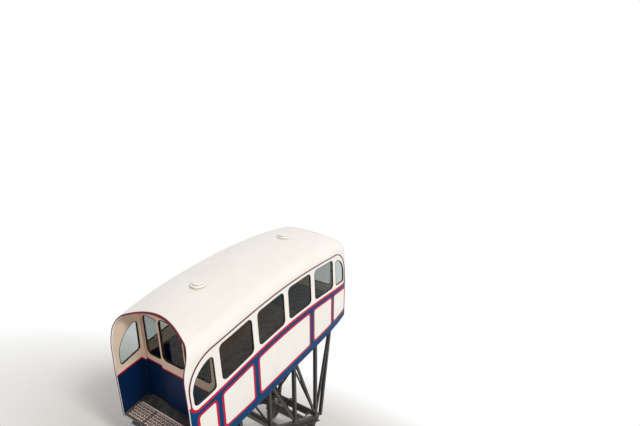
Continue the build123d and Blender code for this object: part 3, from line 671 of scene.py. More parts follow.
ROOF = SkinPaint(
    "roof_enamel", tone(250, 246, 241), tone(245, 240, 233), 0.36, 0.08, 0.06, 3.2, 4.3, 0.05,
    inside_low=tone(16, 62, 116), axis_height=3.6,
)
WINDOW_PANEL = SkinPaint(
    "window_panel_enamel", tone(250, 247, 241), tone(245, 241, 234), 0.32, 0.1, 0.1, 3.1, 3.5, 0.03
)
# Inside, the lower panels' blue is darkened as painted shade.
LOWER_PANEL = SkinPaint(
    "lower_panel_enamel", tone(6, 70, 118), tone(4, 60, 106), 0.32, 0.02, 0.3, 2.34, 2.62, 0.02, gloss=0.04,
    inside_low=tone(12, 40, 80),
)
WHITE_PANEL = CoachPaint(
    "white_panel_enamel", tone(250, 247, 241), tone(244, 240, 232), 0.32, 0.1, 0.16, 2.5, 2.9
)
CRIMSON = CoachPaint(
    "crimson_line", tone(206, 6, 56), tone(192, 5, 50), 0.34, 0.05, 0.1, 2.5, 2.9, 0.03, gloss=0.12
)
MAROON = CoachPaint(
    "maroon_moulding", tone(112, 46, 58), tone(96, 36, 48), 0.36, 0.05, 0.1, 2.5, 3.0, 0.03, gloss=0.12
)
RIM = RimPaint(
    "rim_enamel", tone(248, 243, 236), tone(240, 233, 224), 0.34, 0.05, 0.15, 2.4, 3.0, 0.04, gloss=0.12
)
# Below the level line the partitions' blue is darkened as painted shade.
PARTITION = TwoToneFinish(
    "partition_enamel", tone(228, 196, 172), tone(236, 206, 184), 0.34, 0.05, 0.1, 2.4, 2.8,
    ripple=0.0002, gloss=0.12, low=tone(10, 36, 72),
)
GASKET = Rubber("black_gasket")
TREAD_RUBBER = Rubber("tread_rubber", tone(34, 33, 33), tone(90, 86, 80))
GLASS = ClearGlass("clear_pane")
# The dark tone inboard of the plates is painted shade.
FLOOR_SHEET = PlatformSheet(
    "platform_sheet", tone(92, 88, 88), tone(74, 68, 64), tone(120, 116, 112), 0.2, 0.6, 0.6, 0.4, dust=0.2
)
PLATE = WorkedMetal(
    "plate_ground", tone(124, 100, 94), tone(96, 78, 72), tone(214, 200, 196), 0.1, 0.5, 0.7, 0.6, dust=0.1
)
# Worn tread steel, pushed up to near-white as a painted highlight of sunlit chequer plate.
TREAD_AND_HIGHLIGHT = WorkedMetal(
    "worn_tread", tone(255, 238, 232), tone(242, 218, 210), tone(252, 240, 236), 0.1, 0.42, 0.5, 0.6,
    dust=0.05,
)
TRACK_STEEL = WorkedMetal("runner_steel", tone(86, 86, 88), tone(58, 54, 50), tone(150, 148, 144), 0.6, 0.4)
CHROME = WorkedMetal(
    "polished_rail", tone(205, 205, 206), tone(190, 188, 184), tone(230, 230, 230), 1.0, 0.12, 0.3, 0.2,
    depth=0.0001, dust=0.05,
)
BRASS = WorkedMetal(
    "lacquered_brass", tone(190, 150, 80), tone(140, 104, 56), tone(220, 190, 130), 1.0, 0.25, 0.4, 0.5,
    dust=0.05,
)
LINO = WorkedMetal(
    "floor_sheet", tone(84, 60, 48), tone(66, 50, 42), tone(120, 96, 80), 0.0, 0.5, 0.7, 0.3, depth=0.0003
)
FRAME_BLACK = WorkedMetal(
    "frame_black", tone(44, 44, 46), tone(62, 50, 42), tone(112, 84, 64), 0.0, 0.42, 0.55, 0.7
)
STEP_GREY = WorkedMetal(
    "step_grey", tone(150, 152, 152), tone(118, 112, 104), tone(190, 188, 184), 0.0, 0.45, 0.5, 0.6
)
IRON = WorkedMetal(
    "cast_iron_black", tone(52, 50, 49), tone(74, 56, 42), tone(120, 104, 90), 0.3, 0.55, 0.6, 0.6,
    depth=0.0012,
)
WHEEL_IRON = WorkedMetal(
    "wheel_iron", tone(70, 60, 54), tone(96, 66, 46), tone(168, 164, 160), 0.5, 0.5, 0.7, 0.9, depth=0.001
)
BRIGHT_STEEL = WorkedMetal(
    "bright_tread", tone(188, 187, 184), tone(150, 144, 136), tone(220, 220, 218), 1.0, 0.22, 0.4, 0.3
)
OILED_STEEL = WorkedMetal(
    "oiled_steel", tone(120, 116, 108), tone(70, 60, 48), tone(176, 172, 166), 0.9, 0.32, 0.6, 0.6
)
OAK = Timber("bench_timber")
CLOTH = SeatCloth("seat_cloth")
PIPING = SeatCloth("seat_piping", tone(60, 18, 26), tone(46, 16, 24))
OPAL = OpalShade("opal_shade")


def link(name: str, data: bpy.types.ID) -> bpy.types.Object:
    """Put a mesh, a lamp or a camera into the scene."""
    made = bpy.data.objects.new(name, data)
    bpy.context.scene.collection.objects.link(made)
    return made


def circle(parts: int) -> list[float]:
    """Angles evenly round a circle."""
    return [i * math.tau / parts for i in range(parts)]


class Draft:
    """Points and faces gathered for one piece."""

    def __init__(self) -> None:
        """Start with nothing."""
        self.points: list[Vector] = []
        self.faces: list[tuple[int, ...]] = []

    def strip(self, rows: Sequence[Sequence[Vector]], ring: bool = False, loop: bool = False) -> None:
        """Join rows of points with four-sided faces.

        Args:
            rows: Rows of equally many points.
            ring: Whether the last row joins the first.
            loop: Whether each row's last point joins its first.
        """
        start = len(self.points)
        wide = len(rows[0])
        for row in rows:
            self.points.extend(row)
        for i in range(len(rows) if ring else len(rows) - 1):
            here = start + i * wide
            there = start + (i + 1) % len(rows) * wide
            for j in range(wide if loop else wide - 1):
                k = (j + 1) % wide
                self.faces.append((here + j, here + k, there + k, there + j))

    def fan(self, ring: Sequence[Vector]) -> None:
        """Close a ring of points with triangles about its middle."""
        start = len(self.points)
        self.points += [sum(ring, Vector()) / len(ring), *ring]
        for i in range(len(ring)):
            self.faces.append((start, start + 1 + i, start + 1 + (i + 1) % len(ring)))

    def lathe(self, profile: Outline, place: Matrix, parts: int = 32, capped: bool = True) -> None:
        """Turn a profile about the Z axis of a place.

        Args:
            profile: Radius and height of each point, from one end of the axis to the other.
            place: Where the axis stands.
            parts: Points round the axis.
            capped: Whether both ends are closed.
        """
        turns = circle(parts)
        rows = [[place @ Vector((r * math.cos(a), r * math.sin(a), z)) for a in turns] for r, z in profile]
        self.strip(rows, loop=True)
        if capped:
            self.fan(rows[0])
            self.fan(rows[-1])

    def bolt(self, place: Matrix, r: float, height: float) -> None:
        """Add a hexagon head on a washer, standing on the XY plane of a place."""
        self.lathe([(r * 1.35, -0.001), (r * 1.35, height * 0.25), (r * 0.4, height * 0.25)], place, 16)
        head = [(r, height * 0.25), (r, height * 0.85), (r * 0.82, height), (r * 0.3, height)]
        self.lathe(head, place, 6)

    def bolt_ring(
        self, place: Matrix, reach: float, z: float, count: int, size: Flat, start: float = 0.0
    ) -> None:
        """Add bolts in a ring about the Z axis of a place.

        Args:
            place: Where the axis stands.
            reach: Distance of each bolt from the axis.
            z: Height that the bolts stand at.
            count: Number of bolts.
            size: A bolt's radius and height.
            start: Angle of the first bolt.
        """
        for k in range(count):
            a = start + k * math.tau / count
            self.bolt(place @ Matrix.Translation((reach * math.cos(a), reach * math.sin(a), z)), *size)

    def block(self, size: Sequence[float], place: Matrix | Sequence[float], soften: float = 0.002) -> None:
        """Add a block with its corners taken off.

        Args:
            size: Length, width and height.
            place: Where its middle lies, as a point or with a turn.
            soften: Width of the chamfers.
        """
        spot = place if isinstance(place, Matrix) else Matrix.Translation(place)
        shape = bmesh.new()
        bmesh.ops.create_cube(shape, size=1.0)
        bmesh.ops.scale(shape, vec=Vector(size), verts=shape.verts)
        bmesh.ops.bevel(shape, geom=shape.edges[:], offset=soften, segments=2, profile=0.6, affect="EDGES")
        start = len(self.points)
        self.points.extend(spot @ corner.co for corner in shape.verts)
        shape.verts.index_update()
        self.faces.extend(tuple(start + corner.index for corner in face.verts) for face in shape.faces)
        shape.free()

    def sweep(self, path: Sequence[Vector], r: float, parts: int = 10, closed: bool = False) -> None:
        """Run a round bar along a path.

        Args:
            path: Points of the bar's middle line.
            r: The bar's radius.
            parts: Points round the bar.
            closed: Whether the path ends where it starts.
        """
        rows = []
        count = len(path)
        side = None
        for i, point in enumerate(path):
            after = path[(i + 1) % count] if closed or i + 1 < count else point
            before = path[i - 1] if closed or i else point
            way = (after - before).normalized()
            if side is None:
                side = way.orthogonal().normalized()
            side = (side - way * side.dot(way)).normalized()
            up = way.cross(side)
            rows.append([point + r * (math.cos(a) * side + math.sin(a) * up) for a in circle(parts)])
        self.strip(rows, ring=closed, loop=True)
        if not closed:
            self.fan(rows[0])
            self.fan(rows[-1])

    def piece(
        self, name: str, finish: Finish, body: Body, crease: float = 38.0, join: float = 1e-5
    ) -> bpy.types.Object:
        """Make the piece and set it to ride on its body.

        Args:
            name: The piece's name.
            finish: What it is dressed in.
            body: The body that it rides on.
            crease: Angle in degrees over which an edge stays sharp.
            join: Distance within which points become one.

        Returns:
            The new object.
        """
        mesh = bpy.data.meshes.new(name)
        mesh.from_pydata([tuple(point) for point in self.points], [], self.faces)
        work = bmesh.new()
        work.from_mesh(mesh)
        bmesh.ops.remove_doubles(work, verts=work.verts, dist=join)
        bmesh.ops.recalc_face_normals(work, faces=work.faces)
        work.to_mesh(mesh)
        work.free()
        mesh.shade_smooth()
        mesh.set_sharp_from_angle(angle=math.radians(crease))
        mesh.materials.append(finish.material())
        made = link(name, mesh)
        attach(made, body.value)
        log.info("%s: %d faces on %s", name, len(mesh.polygons), body.value)
        return made


def arc_corner(centre: Flat, r: float, start: float) -> list[Flat]:
    """Points of a quarter turn about a centre, from a first angle in degrees."""
    turns = [math.radians(start + 90 * i / CORNER_STEPS) for i in range(CORNER_STEPS + 1)]
    return [(centre[0] + r * math.cos(a), centre[1] + r * math.sin(a)) for a in turns]


def hull_ring(points: Iterable[Flat]) -> list[Flat]:
    """The convex outline of flat points.

    Args:
        points: Flat points in any order.

    Returns:
        The outline's points, anticlockwise.
    """
    ordered = sorted(set((round(a, 5), round(b, 5)) for a, b in points))

    def half(run: list[Flat]) -> list[Flat]:
        """One side of the outline."""
        kept: list[Flat] = []
        for p in run:
            while len(kept) > 1:
                (ax, ay), (bx, by) = kept[-2], kept[-1]
                if (bx - ax) * (p[1] - ay) - (by - ay) * (p[0] - ax) > 1e-9:
                    break
                kept.pop()
            kept.append(p)
        return kept[:-1]

    return half(ordered) + half(ordered[::-1])


def dense_ring(ring: Outline, step: float) -> list[Flat]:
    """A closed outline with points no further apart than a step.

    Args:
        ring: The outline's corners.
        step: Greatest distance between points.

    Returns:
        The outline with points added.
    """
    points = []
    for i, (x, z) in enumerate(ring):
        nx, nz = ring[(i + 1) % len(ring)]
        parts = max(1, math.ceil(math.hypot(nx - x, nz - z) / step))
        points.extend((x + (nx - x) * j / parts, z + (nz - z) * j / parts) for j in range(parts))
    return points


def outward(path: Outline, closed: bool = True) -> list[Flat]:
    """The direction to the right of a path at each of its points, outward for an anticlockwise ring.

    Args:
        path: The path's points.
        closed: Whether the last point joins the first.

    Returns:
        Unit directions.
    """
    found = []
    last = len(path) - 1
    for i in range(len(path)):
        ax, az = path[i - 1 if closed else max(i - 1, 0)]
        bx, bz = path[(i + 1) % len(path) if closed else min(i + 1, last)]
        run = math.hypot(bx - ax, bz - az) or 1.0
        found.append(((bz - az) / run, -(bx - ax) / run))
    return found


def loose_parts(node: str) -> list[list[Vector]]:
    """The separate solids of a node, as lists of points.

    Args:
        node: Name of the CAD node.

    Returns:
        One list of points for each solid, sorted by its middle.
    """
    work = bmesh.new()
    work.from_mesh(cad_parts[node].data)
    bmesh.ops.remove_doubles(work, verts=work.verts, dist=1e-5)
    left = set(work.verts)
    parts = []
    while left:
        heap = [left.pop()]
        part = []
        while heap:
            corner = heap.pop()
            part.append(corner.co.copy())
            for edge in corner.link_edges:
                other = edge.other_vert(corner)
                if other in left:
                    left.remove(other)
                    heap.append(other)
        parts.append(part)
    work.free()

    def middle(part: list[Vector]) -> tuple[float, ...]:
        """A solid's middle to the millimetre."""
        return tuple(round(sum(p[i] for p in part) / len(part), 3) for i in range(3))

    return sorted(parts, key=middle)


def part_box(part: Sequence[Vector]) -> tuple[Vector, Vector]:
    """The lowest and the highest corner of a part's box."""
    low, high = ([pick(p[i] for p in part) for i in range(3)] for pick in (min, max))
    return Vector(low), Vector(high)


class BodySkin:
    """The outer surface of one side of the body, found by looking at it from outside."""

    def __init__(self, side: Side) -> None:
        """Gather the side's surfaces."""
        self.side = side
        points: list[Vector] = []
        faces: list[tuple[int, ...]] = []
        for node in (f"lower_side_{side.label}", f"upper_side_{side.label}", "roof_shell"):
            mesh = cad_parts[node].data
            start = len(points)
            points.extend(corner.co.copy() for corner in mesh.vertices)
            faces.extend(tuple(start + i for i in face.vertices) for face in mesh.polygons)
        self.tree = BVHTree.FromPolygons(points, faces)

    def touch(self, x: float, z: float) -> float | None:
        """Y of the outer skin at a place, or nothing over an opening."""
        hand = self.side.value
        hit = self.tree.ray_cast(Vector((x, hand * 1.6, z)), Vector((0, -hand, 0)), 0.9)
        return hit[0].y if hit[0] else None

    def spot(self, x: float, z: float, lift: float) -> Vector:
        """A point over the skin.

        Args:
            x: Place along the car.
            z: Height.
            lift: Distance out from the skin.

        Returns:
            The point.
        """
        reach = 0.012
        steepest = 1.5
        y = self.touch(x, z)
        if y is None:
            y = self.side.value * SIZES.half_plan(x)
        across = self.touch(x + reach, z)
        above = self.touch(x, z + reach)
        dx = 0.0 if across is None else (across - y) / reach
        dz = 0.0 if above is None else (above - y) / reach
        normal = Vector((-dx, 1.0, -dz)) * self.side.value
        if abs(dx) > steepest or abs(dz) > steepest:
            normal = Vector((0.0, self.side.value, 0.0))
        return Vector((x, y, z)) + normal.normalized() * lift


@dataclass
class Livery:
    """White panels edged in crimson along one blue side, under a crimson waist line."""

    side: Side
    skin: BodySkin
    spans: tuple[Flat, ...] = (
        (-2.476, -2.087), (-1.943, -1.126), (-0.962, 0.831), (1.0, 1.812), (1.925, 2.585),
    )
    top_gap: float = 0.13
    corner_r: float = 0.07
    edge_width: float = 0.045
    edge_rise: Flat = (0.0014, 0.0022)
    waist_width: float = 0.05
    waist_rise: Flat = (0.0012, 0.0018)
    lift: float = 0.0008
    sunk: float = -0.001
    foot_steps: int = 8
    waist_steps: int = 80

    def build(self) -> None:
        """Lay the panels, their crimson edges and the waist line."""
        panels = Draft()
        edges = Draft()
        for low_x, high_x in self.spans:
            ring = self.outline(low_x, high_x)
            self.lay_panel(panels, ring)
            edges.strip(self.line(ring, outward(ring), self.edge_width, self.edge_rise), ring=True)
        path = self.waist_path()
        edges.strip(self.line(path, outward(path, closed=False), self.waist_width, self.waist_rise))
        panels.piece(f"white_panels_{self.side.label}", WHITE_PANEL, Body.CAR)
        edges.piece(f"panel_edging_{self.side.label}", CRIMSON, Body.CAR)

    def outline(self, low_x: float, high_x: float) -> list[Flat]:
        """A panel's outline, anticlockwise from its lower left corner.

        Args:
            low_x: The panel's uphill edge.
            high_x: The panel's downhill edge.

        Returns:
            Points of X and Z.
        """
        low_z = SIZES.floor_z + SIZES.line_rise
        tall = SIZES.waist((low_x + high_x) / 2) - self.top_gap - low_z
        r = self.corner_r
        corners = ((low_x + r, r), (high_x - r, r), (high_x - r, tall - r), (low_x + r, tall - r))
        flat = [p for k, corner in enumerate(corners) for p in arc_corner(corner, r, (180 + 90 * k) % 360)]
        bent = []
        for x, t in dense_ring(flat, 0.05):
            top = SIZES.waist(x) - self.top_gap - low_z
            bent.append((x, low_z + (t if t < tall / 2 else top - (tall - t))))
        return bent

    def waist_path(self) -> list[Flat]:
        """The waist bead's line from the foot of one end post to the other.

        Returns:
            Points of X and Z from the uphill end.
        """
        edge_x = SIZES.half_length - SIZES.drip_margin
        foot_x = edge_x - SIZES.foot_run
        start_z = SIZES.waist(edge_x) + SIZES.foot_rise
        fall = start_z - SIZES.waist(foot_x)
        r = (SIZES.foot_run**2 + fall**2) / (2 * SIZES.foot_run)
        turn = math.asin(min(1.0, fall / r))
        if r < SIZES.foot_run:
            turn = math.pi - turn
        turns = [turn * i / self.foot_steps for i in range(self.foot_steps)]
        foot = [(edge_x - r + r * math.cos(a), start_z - r * math.sin(a)) for a in turns]
        xs = [foot_x - 2 * foot_x * i / self.waist_steps for i in range(self.waist_steps + 1)]
        path = foot + [(x, SIZES.waist(x)) for x in xs] + [(-x, z) for x, z in reversed(foot)]
        return path[::-1]

    def line(self, path: Outline, ways: Outline, width: float, rise: Flat) -> list[list[Vector]]:
        """Rows of points for a raised line along a path.

        Args:
            path: Points of X and Z.
            ways: The direction across the line at each point.
            width: The line's width.
            rise: Its height over the skin at its edges and at its middle.

        Returns:
            One row of points across the line for each point of the path.
        """
        half = width / 2
        profile = ((-half, self.sunk), (-half, rise[0]), (0.0, rise[1]), (half, rise[0]), (half, self.sunk))
        rows = []
        for (x, z), (ox, oz) in zip(path, ways):
            rows.append([self.skin.spot(x + ox * a, z + oz * a, b) for a, b in profile])
        return rows

    def lay_panel(self, draft: Draft, ring: Outline) -> None:
        """Lay one panel as columns from its lower edge to its upper one."""
        rows = []
        for x in sorted(set(round(x, 4) for x, _ in ring))[1:-1]:
            heights = []
            for i, (ax, az) in enumerate(ring):
                bx, bz = ring[(i + 1) % len(ring)]
                if (ax - x) * (bx - x) <= 0 and abs(bx - ax) > 1e-9:
                    heights.append(az + (bz - az) * (x - ax) / (bx - ax))
            low, high = min(heights), max(heights)
            column = [self.skin.spot(x, low + (high - low) * k / 10, self.lift) for k in range(11)]
            rows.append([self.skin.spot(x, low, self.sunk), *column, self.skin.spot(x, high, self.sunk)])
        draft.strip(rows)


@dataclass
class SideGlazing:
    """Rubber gaskets that hold the side windows of one side."""

    side: Side
    skin: BodySkin
    lip: float = 0.008
    inset: float = 0.004
    pane_depth: float = 0.013

    def build(self) -> None:
        """Fit a gasket to each pane, outside and inside."""
        panes = [pane for pane in loose_parts("side_glass") if pane[0].y * self.side.value >= 0]
        rings = [dense_ring(hull_ring((p.x, p.z) for p in pane), OUTLINE_STEP) for pane in panes]
        for kind, profile in (("window", self.outer_profile()), ("inner", self.inner_profile())):
            draft = Draft()
            for ring in rings:
                rows = [self.row(spot, way, profile) for spot, way in zip(ring, outward(ring))]
                draft.strip(rows, ring=True)
            draft.piece(f"{kind}_gaskets_{self.side.label}", GASKET, Body.CAR, SOFT_CREASE)

    def row(self, spot: Flat, way: Flat, profile: Outline) -> list[Vector]:
        """The points of a gasket's section at one point of a pane's edge.

        Args:
            spot: X and Z on the pane's edge.
            way: Direction out from the pane there.
            profile: Distance out from the edge, and height over the skin.

        Returns:
            The section's points.
        """
        x, z = (a + b * self.inset for a, b in zip(spot, way))
        base = self.skin.spot(x, z, 0.0)
        normal = self.skin.spot(x, z, 1.0) - base
        out = Vector((way[0], 0.0, way[1]))
        out = (out - normal * out.dot(normal)).normalized()
        return [base + out * (a - self.inset) + normal * b for a, b in profile]

    def outer_profile(self) -> Outline:
        """The gasket's section outside the body."""
        lip, deep = self.lip, -self.pane_depth
        return (
            (lip, -0.002), (lip, 0.002), (lip * 0.8, 0.0042), (lip * 0.2, 0.005), (-0.003, 0.003),
            (-0.005, -0.004), (-0.008, deep + 0.003), (-0.009, deep),
        )

    def inner_profile(self) -> Outline:
        """The gasket's section inside the body."""
        lip, deep, pane = self.lip, -SIZES.wall, -self.pane_depth
        return (
            (lip, deep + 0.002), (lip, deep - 0.002), (lip * 0.8, deep - 0.0042), (0.0, deep - 0.005),
            (-0.005, deep + 0.002), (-0.008, pane - 0.0085), (-0.009, pane - 0.006),
        )


@dataclass
class FlatGlazing:
    """Rubber gaskets round the flat panes of a bulkhead or a door."""

    node: str
    body: Body
    near: float
    far: float
    lip: float = 0.014
    rise: float = 0.005
    sliding_rise: float = 0.0016
    sliding_gap_x: float = 2.0015

    def build(self) -> None:
        """Fit a gasket to both faces of each pane, thin where the door slides past."""
        draft = Draft()
        for pane in loose_parts(self.node):
            if self.near * sum(p.x for p in pane) < 0:
                continue
            ring = dense_ring(hull_ring((p.y, p.z) for p in pane), OUTLINE_STEP)
            faces = [box.x for box in part_box(pane)]
            for face_x in (self.near, self.far):
                profile = self.profile(face_x, min(faces, key=lambda x: abs(x - face_x)))
                rows = []
                for (y, z), (oy, oz) in zip(ring, outward(ring)):
                    rows.append([Vector((x, y + oy * a, z + oz * a)) for a, x in profile])
                draft.strip(rows, ring=True)
        end = "uphill" if self.near < 0 else "downhill"
        kind = "door" if "door" in self.node else "bulkhead"
        draft.piece(f"{kind}_gaskets_{end}", GASKET, self.body, SOFT_CREASE)

    def profile(self, face_x: float, pane_x: float) -> Outline:
        """The gasket's section on one face.

        Args:
            face_x: X of the bulkhead's or the door's face.
            pane_x: X of the pane's face on that side.

        Returns:
            Distance out from the pane's edge, and X.
        """
        way = 1.0 if face_x > pane_x else -1.0
        sliding = abs(abs(face_x) - self.sliding_gap_x) < 0.01
        rise = way * (self.sliding_rise if sliding else self.rise)
        return (
            (self.lip, face_x - way * 0.001), (self.lip, face_x + rise * 0.4),
            (self.lip * 0.7, face_x + rise * 0.9), (0.0, face_x + rise),
            (-0.005, face_x), (-0.010, pane_x + way * 0.003), (-0.011, pane_x),
        )


@dataclass
class EndPlatform:
    """The dressed end platform: level line, tread pattern, sill, step strips, lock and handles."""

    end: End
    tread_pitch: float = 0.056
    tread_length: float = 0.052
    tread_width: float = 0.024
    tread_height: float = 0.0025
    plate: float = 0.004
    seam_y: float = 0.43
    seam: float = 0.012
    side_gap: float = 0.035
    door_lap: float = 0.022
    line_width: float = 0.026
    line_depth: float = 0.003
    line_lift: float = 0.0008
    lock_rise: float = 1.14
    pull_rise: float = 0.84

    def build(self) -> None:
        """Dress the platform."""
        self.lay_level_line()
        self.lay_plates()
        self.lay_treads()
        self.lay_sill()
        self.lay_step_strips()
        self.fit_lock()
        self.fit_pull()

    @property
    def way(self) -> int:
        """The sign of X at this end."""
        return self.end.value

    @property
    def door_box(self) -> tuple[Vector, Vector]:
        """The lowest and the highest corner of the door."""
        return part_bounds(f"door_{self.end.label}")

    def half_y(self, x: float) -> float:
        """Half the plates' width at x."""
        return SIZES.half_plan(x) - SIZES.wall - self.side_gap

    def lay_plates(self) -> None:
        """Lay two chequer plates along the platform's edge, with a near-white strip behind them, a painted
        highlight on the plates' inner edge.
        """
        draft = Draft()
        stop = SIZES.half_length - 0.02
        mid_x = self.way * (SIZES.plate_x + stop) / 2
        edge = self.half_y(stop)
        for low_y, high_y in ((-edge, self.seam_y - self.seam / 2), (self.seam_y + self.seam / 2, edge)):
            size = (stop - SIZES.plate_x, high_y - low_y, self.plate)
            draft.block(size, (mid_x, (low_y + high_y) / 2, SIZES.floor_z + self.plate / 2), 0.001)
        draft.piece(f"chequer_plates_{self.end.label}", PLATE, Body.CAR)
        strip = Draft()
        place = (self.way * (SIZES.plate_x - 0.012), 0.0, SIZES.floor_z + 0.003)
        strip.block((0.022, 2 * edge, 0.007), place)
        strip.piece(f"plate_edge_{self.end.label}", TREAD_AND_HIGHLIGHT, Body.CAR)

    def lay_level_line(self) -> None:
        """Run the crimson line over the bulkhead, the side walls and the door."""
        z = SIZES.level_z
        half = self.line_width / 2
        low, high = self.door_box
        line = Draft()
        inner = SIZES.half_plan(SIZES.bulkhead_x) - SIZES.wall
        face = self.way * (SIZES.bulkhead_x + self.line_lift)
        for start, stop in ((-inner, low.y + self.door_lap), (high.y - self.door_lap, inner)):
            size = (self.line_depth, stop - start, self.line_width)
            line.block(size, (face, (start + stop) / 2, z), 0.001)
        section = ((-half, 0.0), (-half, 0.008), (0.0, 0.0088), (half, 0.008), (half, 0.0))
        for side in Side:
            rows = []
            for i in range(13):
                x = SIZES.bulkhead_x + (SIZES.half_length - 0.004 - SIZES.bulkhead_x) * i / 12
                y = SIZES.half_plan(x) - SIZES.wall + 0.004
                rows.append([Vector((self.way * x, side.value * (y - b), z + a)) for a, b in section])
            line.strip(rows)
        line.piece(f"level_line_{self.end.label}", CRIMSON, Body.CAR)
        leaf = Draft()
        leaf_face = (low.x if self.way < 0 else high.x) + self.way * self.line_lift
        size = (self.line_depth, high.y - low.y - 0.002, self.line_width)
        leaf.block(size, (leaf_face, (low.y + high.y) / 2, z), 0.001)
        leaf.piece(f"door_line_{self.end.label}", CRIMSON, self.end.door)

    def lay_treads(self) -> None:
        """Raise the lozenges of the chequer plates, their worn tops painted near-white as a highlight."""
        draft = Draft()
        pitch = self.tread_pitch
        top = SIZES.floor_z + self.plate
        start = SIZES.plate_x + pitch / 2
        stop = SIZES.half_length - 0.035
        for i in range(int((stop - start) / pitch) + 1):
            x = start + i * pitch
            count_y = int((self.half_y(x) - pitch / 2) / pitch)
            for j in range(-count_y, count_y + 1):
                y = j * pitch
                if abs(y - self.seam_y) < pitch / 2:
                    continue
                turn = math.radians(45 if (i + j) % 2 else -45)
                place = Matrix.Translation((self.way * x, y, top)) @ Matrix.Rotation(turn, 4, "Z")
                self.lozenge(draft, place)
        draft.piece(f"tread_pattern_{self.end.label}", TREAD_AND_HIGHLIGHT, Body.CAR, 30.0, 1e-6)

    def lozenge(self, draft: Draft, place: Matrix) -> None:
        """Raise one lozenge with sloping sides."""
        a, b, h = self.tread_length / 2, self.tread_width / 2, self.tread_height
        foot = [(-a, 0), (-a * 0.5, -b), (a * 0.5, -b), (a, 0), (a * 0.5, b), (-a * 0.5, b)]
        lower = [place @ Vector((x, y, -0.0005)) for x, y in foot]
        upper = [place @ Vector((x * 0.82, y * 0.75, h)) for x, y in foot]
        draft.strip([lower, upper], loop=True)
        draft.fan(upper)

    def lay_sill(self) -> None:
        """Lay a ribbed sill in the doorway, clear of the sliding door."""
        low, high = self.door_box
        inner = min(abs(p.x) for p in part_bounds(f"bulkhead_{self.end.label}"))
        mid_x = self.way * (inner + SIZES.bulkhead_x) / 2
        middle = Vector((mid_x, (low.y + high.y) / 2, SIZES.floor_z + 0.001))
        depth = SIZES.bulkhead_x - inner - 0.004
        width = high.y - low.y - 0.1
        draft = Draft()
        draft.block((depth, width, 0.004), middle, 0.001)
        for k in (-1, 0, 1):
            rib = middle + Vector((k * depth / 3.4, 0.0, 0.0024))
            draft.block((0.004, width - 0.01, 0.002), rib, 0.0006)
        draft.piece(f"door_sill_{self.end.label}", IRON, Body.CAR)

    def lay_step_strips(self) -> None:
        """Fit a ribbed strip to the platform's edge and to the step."""
        draft = Draft()
        edge = SIZES.half_length - 0.014
        half_y = SIZES.half_plan(SIZES.half_length) - SIZES.wall - 0.03
        for k in range(5):
            rib = (self.way * (edge - 0.006 * k), 0.0, SIZES.floor_z + 0.0015)
            draft.block((0.004, 2 * half_y, 0.004), rib, 0.001)
        low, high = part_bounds("end_beams")
        points = [p for part in loose_parts("end_beams") for p in part]
        step_top = max(p.z for p in points if abs(p.x) > SIZES.half_length + 0.01)
        for k in range(6):
            x = abs(high.x if self.way > 0 else low.x) - 0.008 - 0.009 * k
            rib = (self.way * x, 0.0, step_top + 0.0015)
            draft.block((0.005, high.y - low.y - 0.04, 0.004), rib, 0.001)
        draft.piece(f"step_strips_{self.end.label}", TREAD_RUBBER, Body.CAR)

    def fit_lock(self) -> None:
        """Fit the lock to both faces of the door, almost flush outside, and its lever inside."""
        low, high = self.door_box
        outer, inner = (low.x, high.x) if self.way < 0 else (high.x, low.x)
        y = low.y + 0.038
        z = SIZES.floor_z + self.lock_rise
        draft = Draft()
        for face, turn, depth, boss in ((outer, self.way, 0.002, 0.0015), (inner, -self.way, 0.0055, 0.024)):
            draft.block((depth, 0.042, 0.17), (face + turn * (depth / 2 - 0.0002), y, z), 0.0008)
            spindle = Matrix.Translation((face + turn * depth * 0.8, y, z + 0.03))
            spindle = spindle @ Matrix.Rotation(turn * QUARTER, 4, "Y")
            profile = [(0.011, 0.0), (0.011, boss * 0.5), (0.008, boss * 0.6), (0.008, boss), (0.002, boss)]
            draft.lathe(profile, spindle, 20)
        hub = Vector((inner - self.way * 0.0225, y, z + 0.03))
        draft.sweep([hub + Vector((0.0, t, -t * t * 1.6)) for t in (0, 0.03, 0.06, 0.09)], 0.0065)
        draft.piece(f"door_lock_{self.end.label}", OILED_STEEL, self.end.door)

    def fit_pull(self) -> None:
        """Fit a brass pull handle to the door's inner face."""
        low, high = self.door_box
        inner = high.x if self.way < 0 else low.x
        y = high.y - 0.09
        z = SIZES.floor_z + self.pull_rise
        lower = ((-0.002, -0.12), (0.018, -0.12), (0.03, -0.1))
        offsets = (*lower, (0.03, 0.0), *((out, -up) for out, up in reversed(lower)))
        pull = Draft()
        pull.sweep([Vector((inner - self.way * out, y, z + up)) for out, up in offsets], 0.008)
        pull.piece(f"door_pull_{self.end.label}", BRASS, self.end.door)


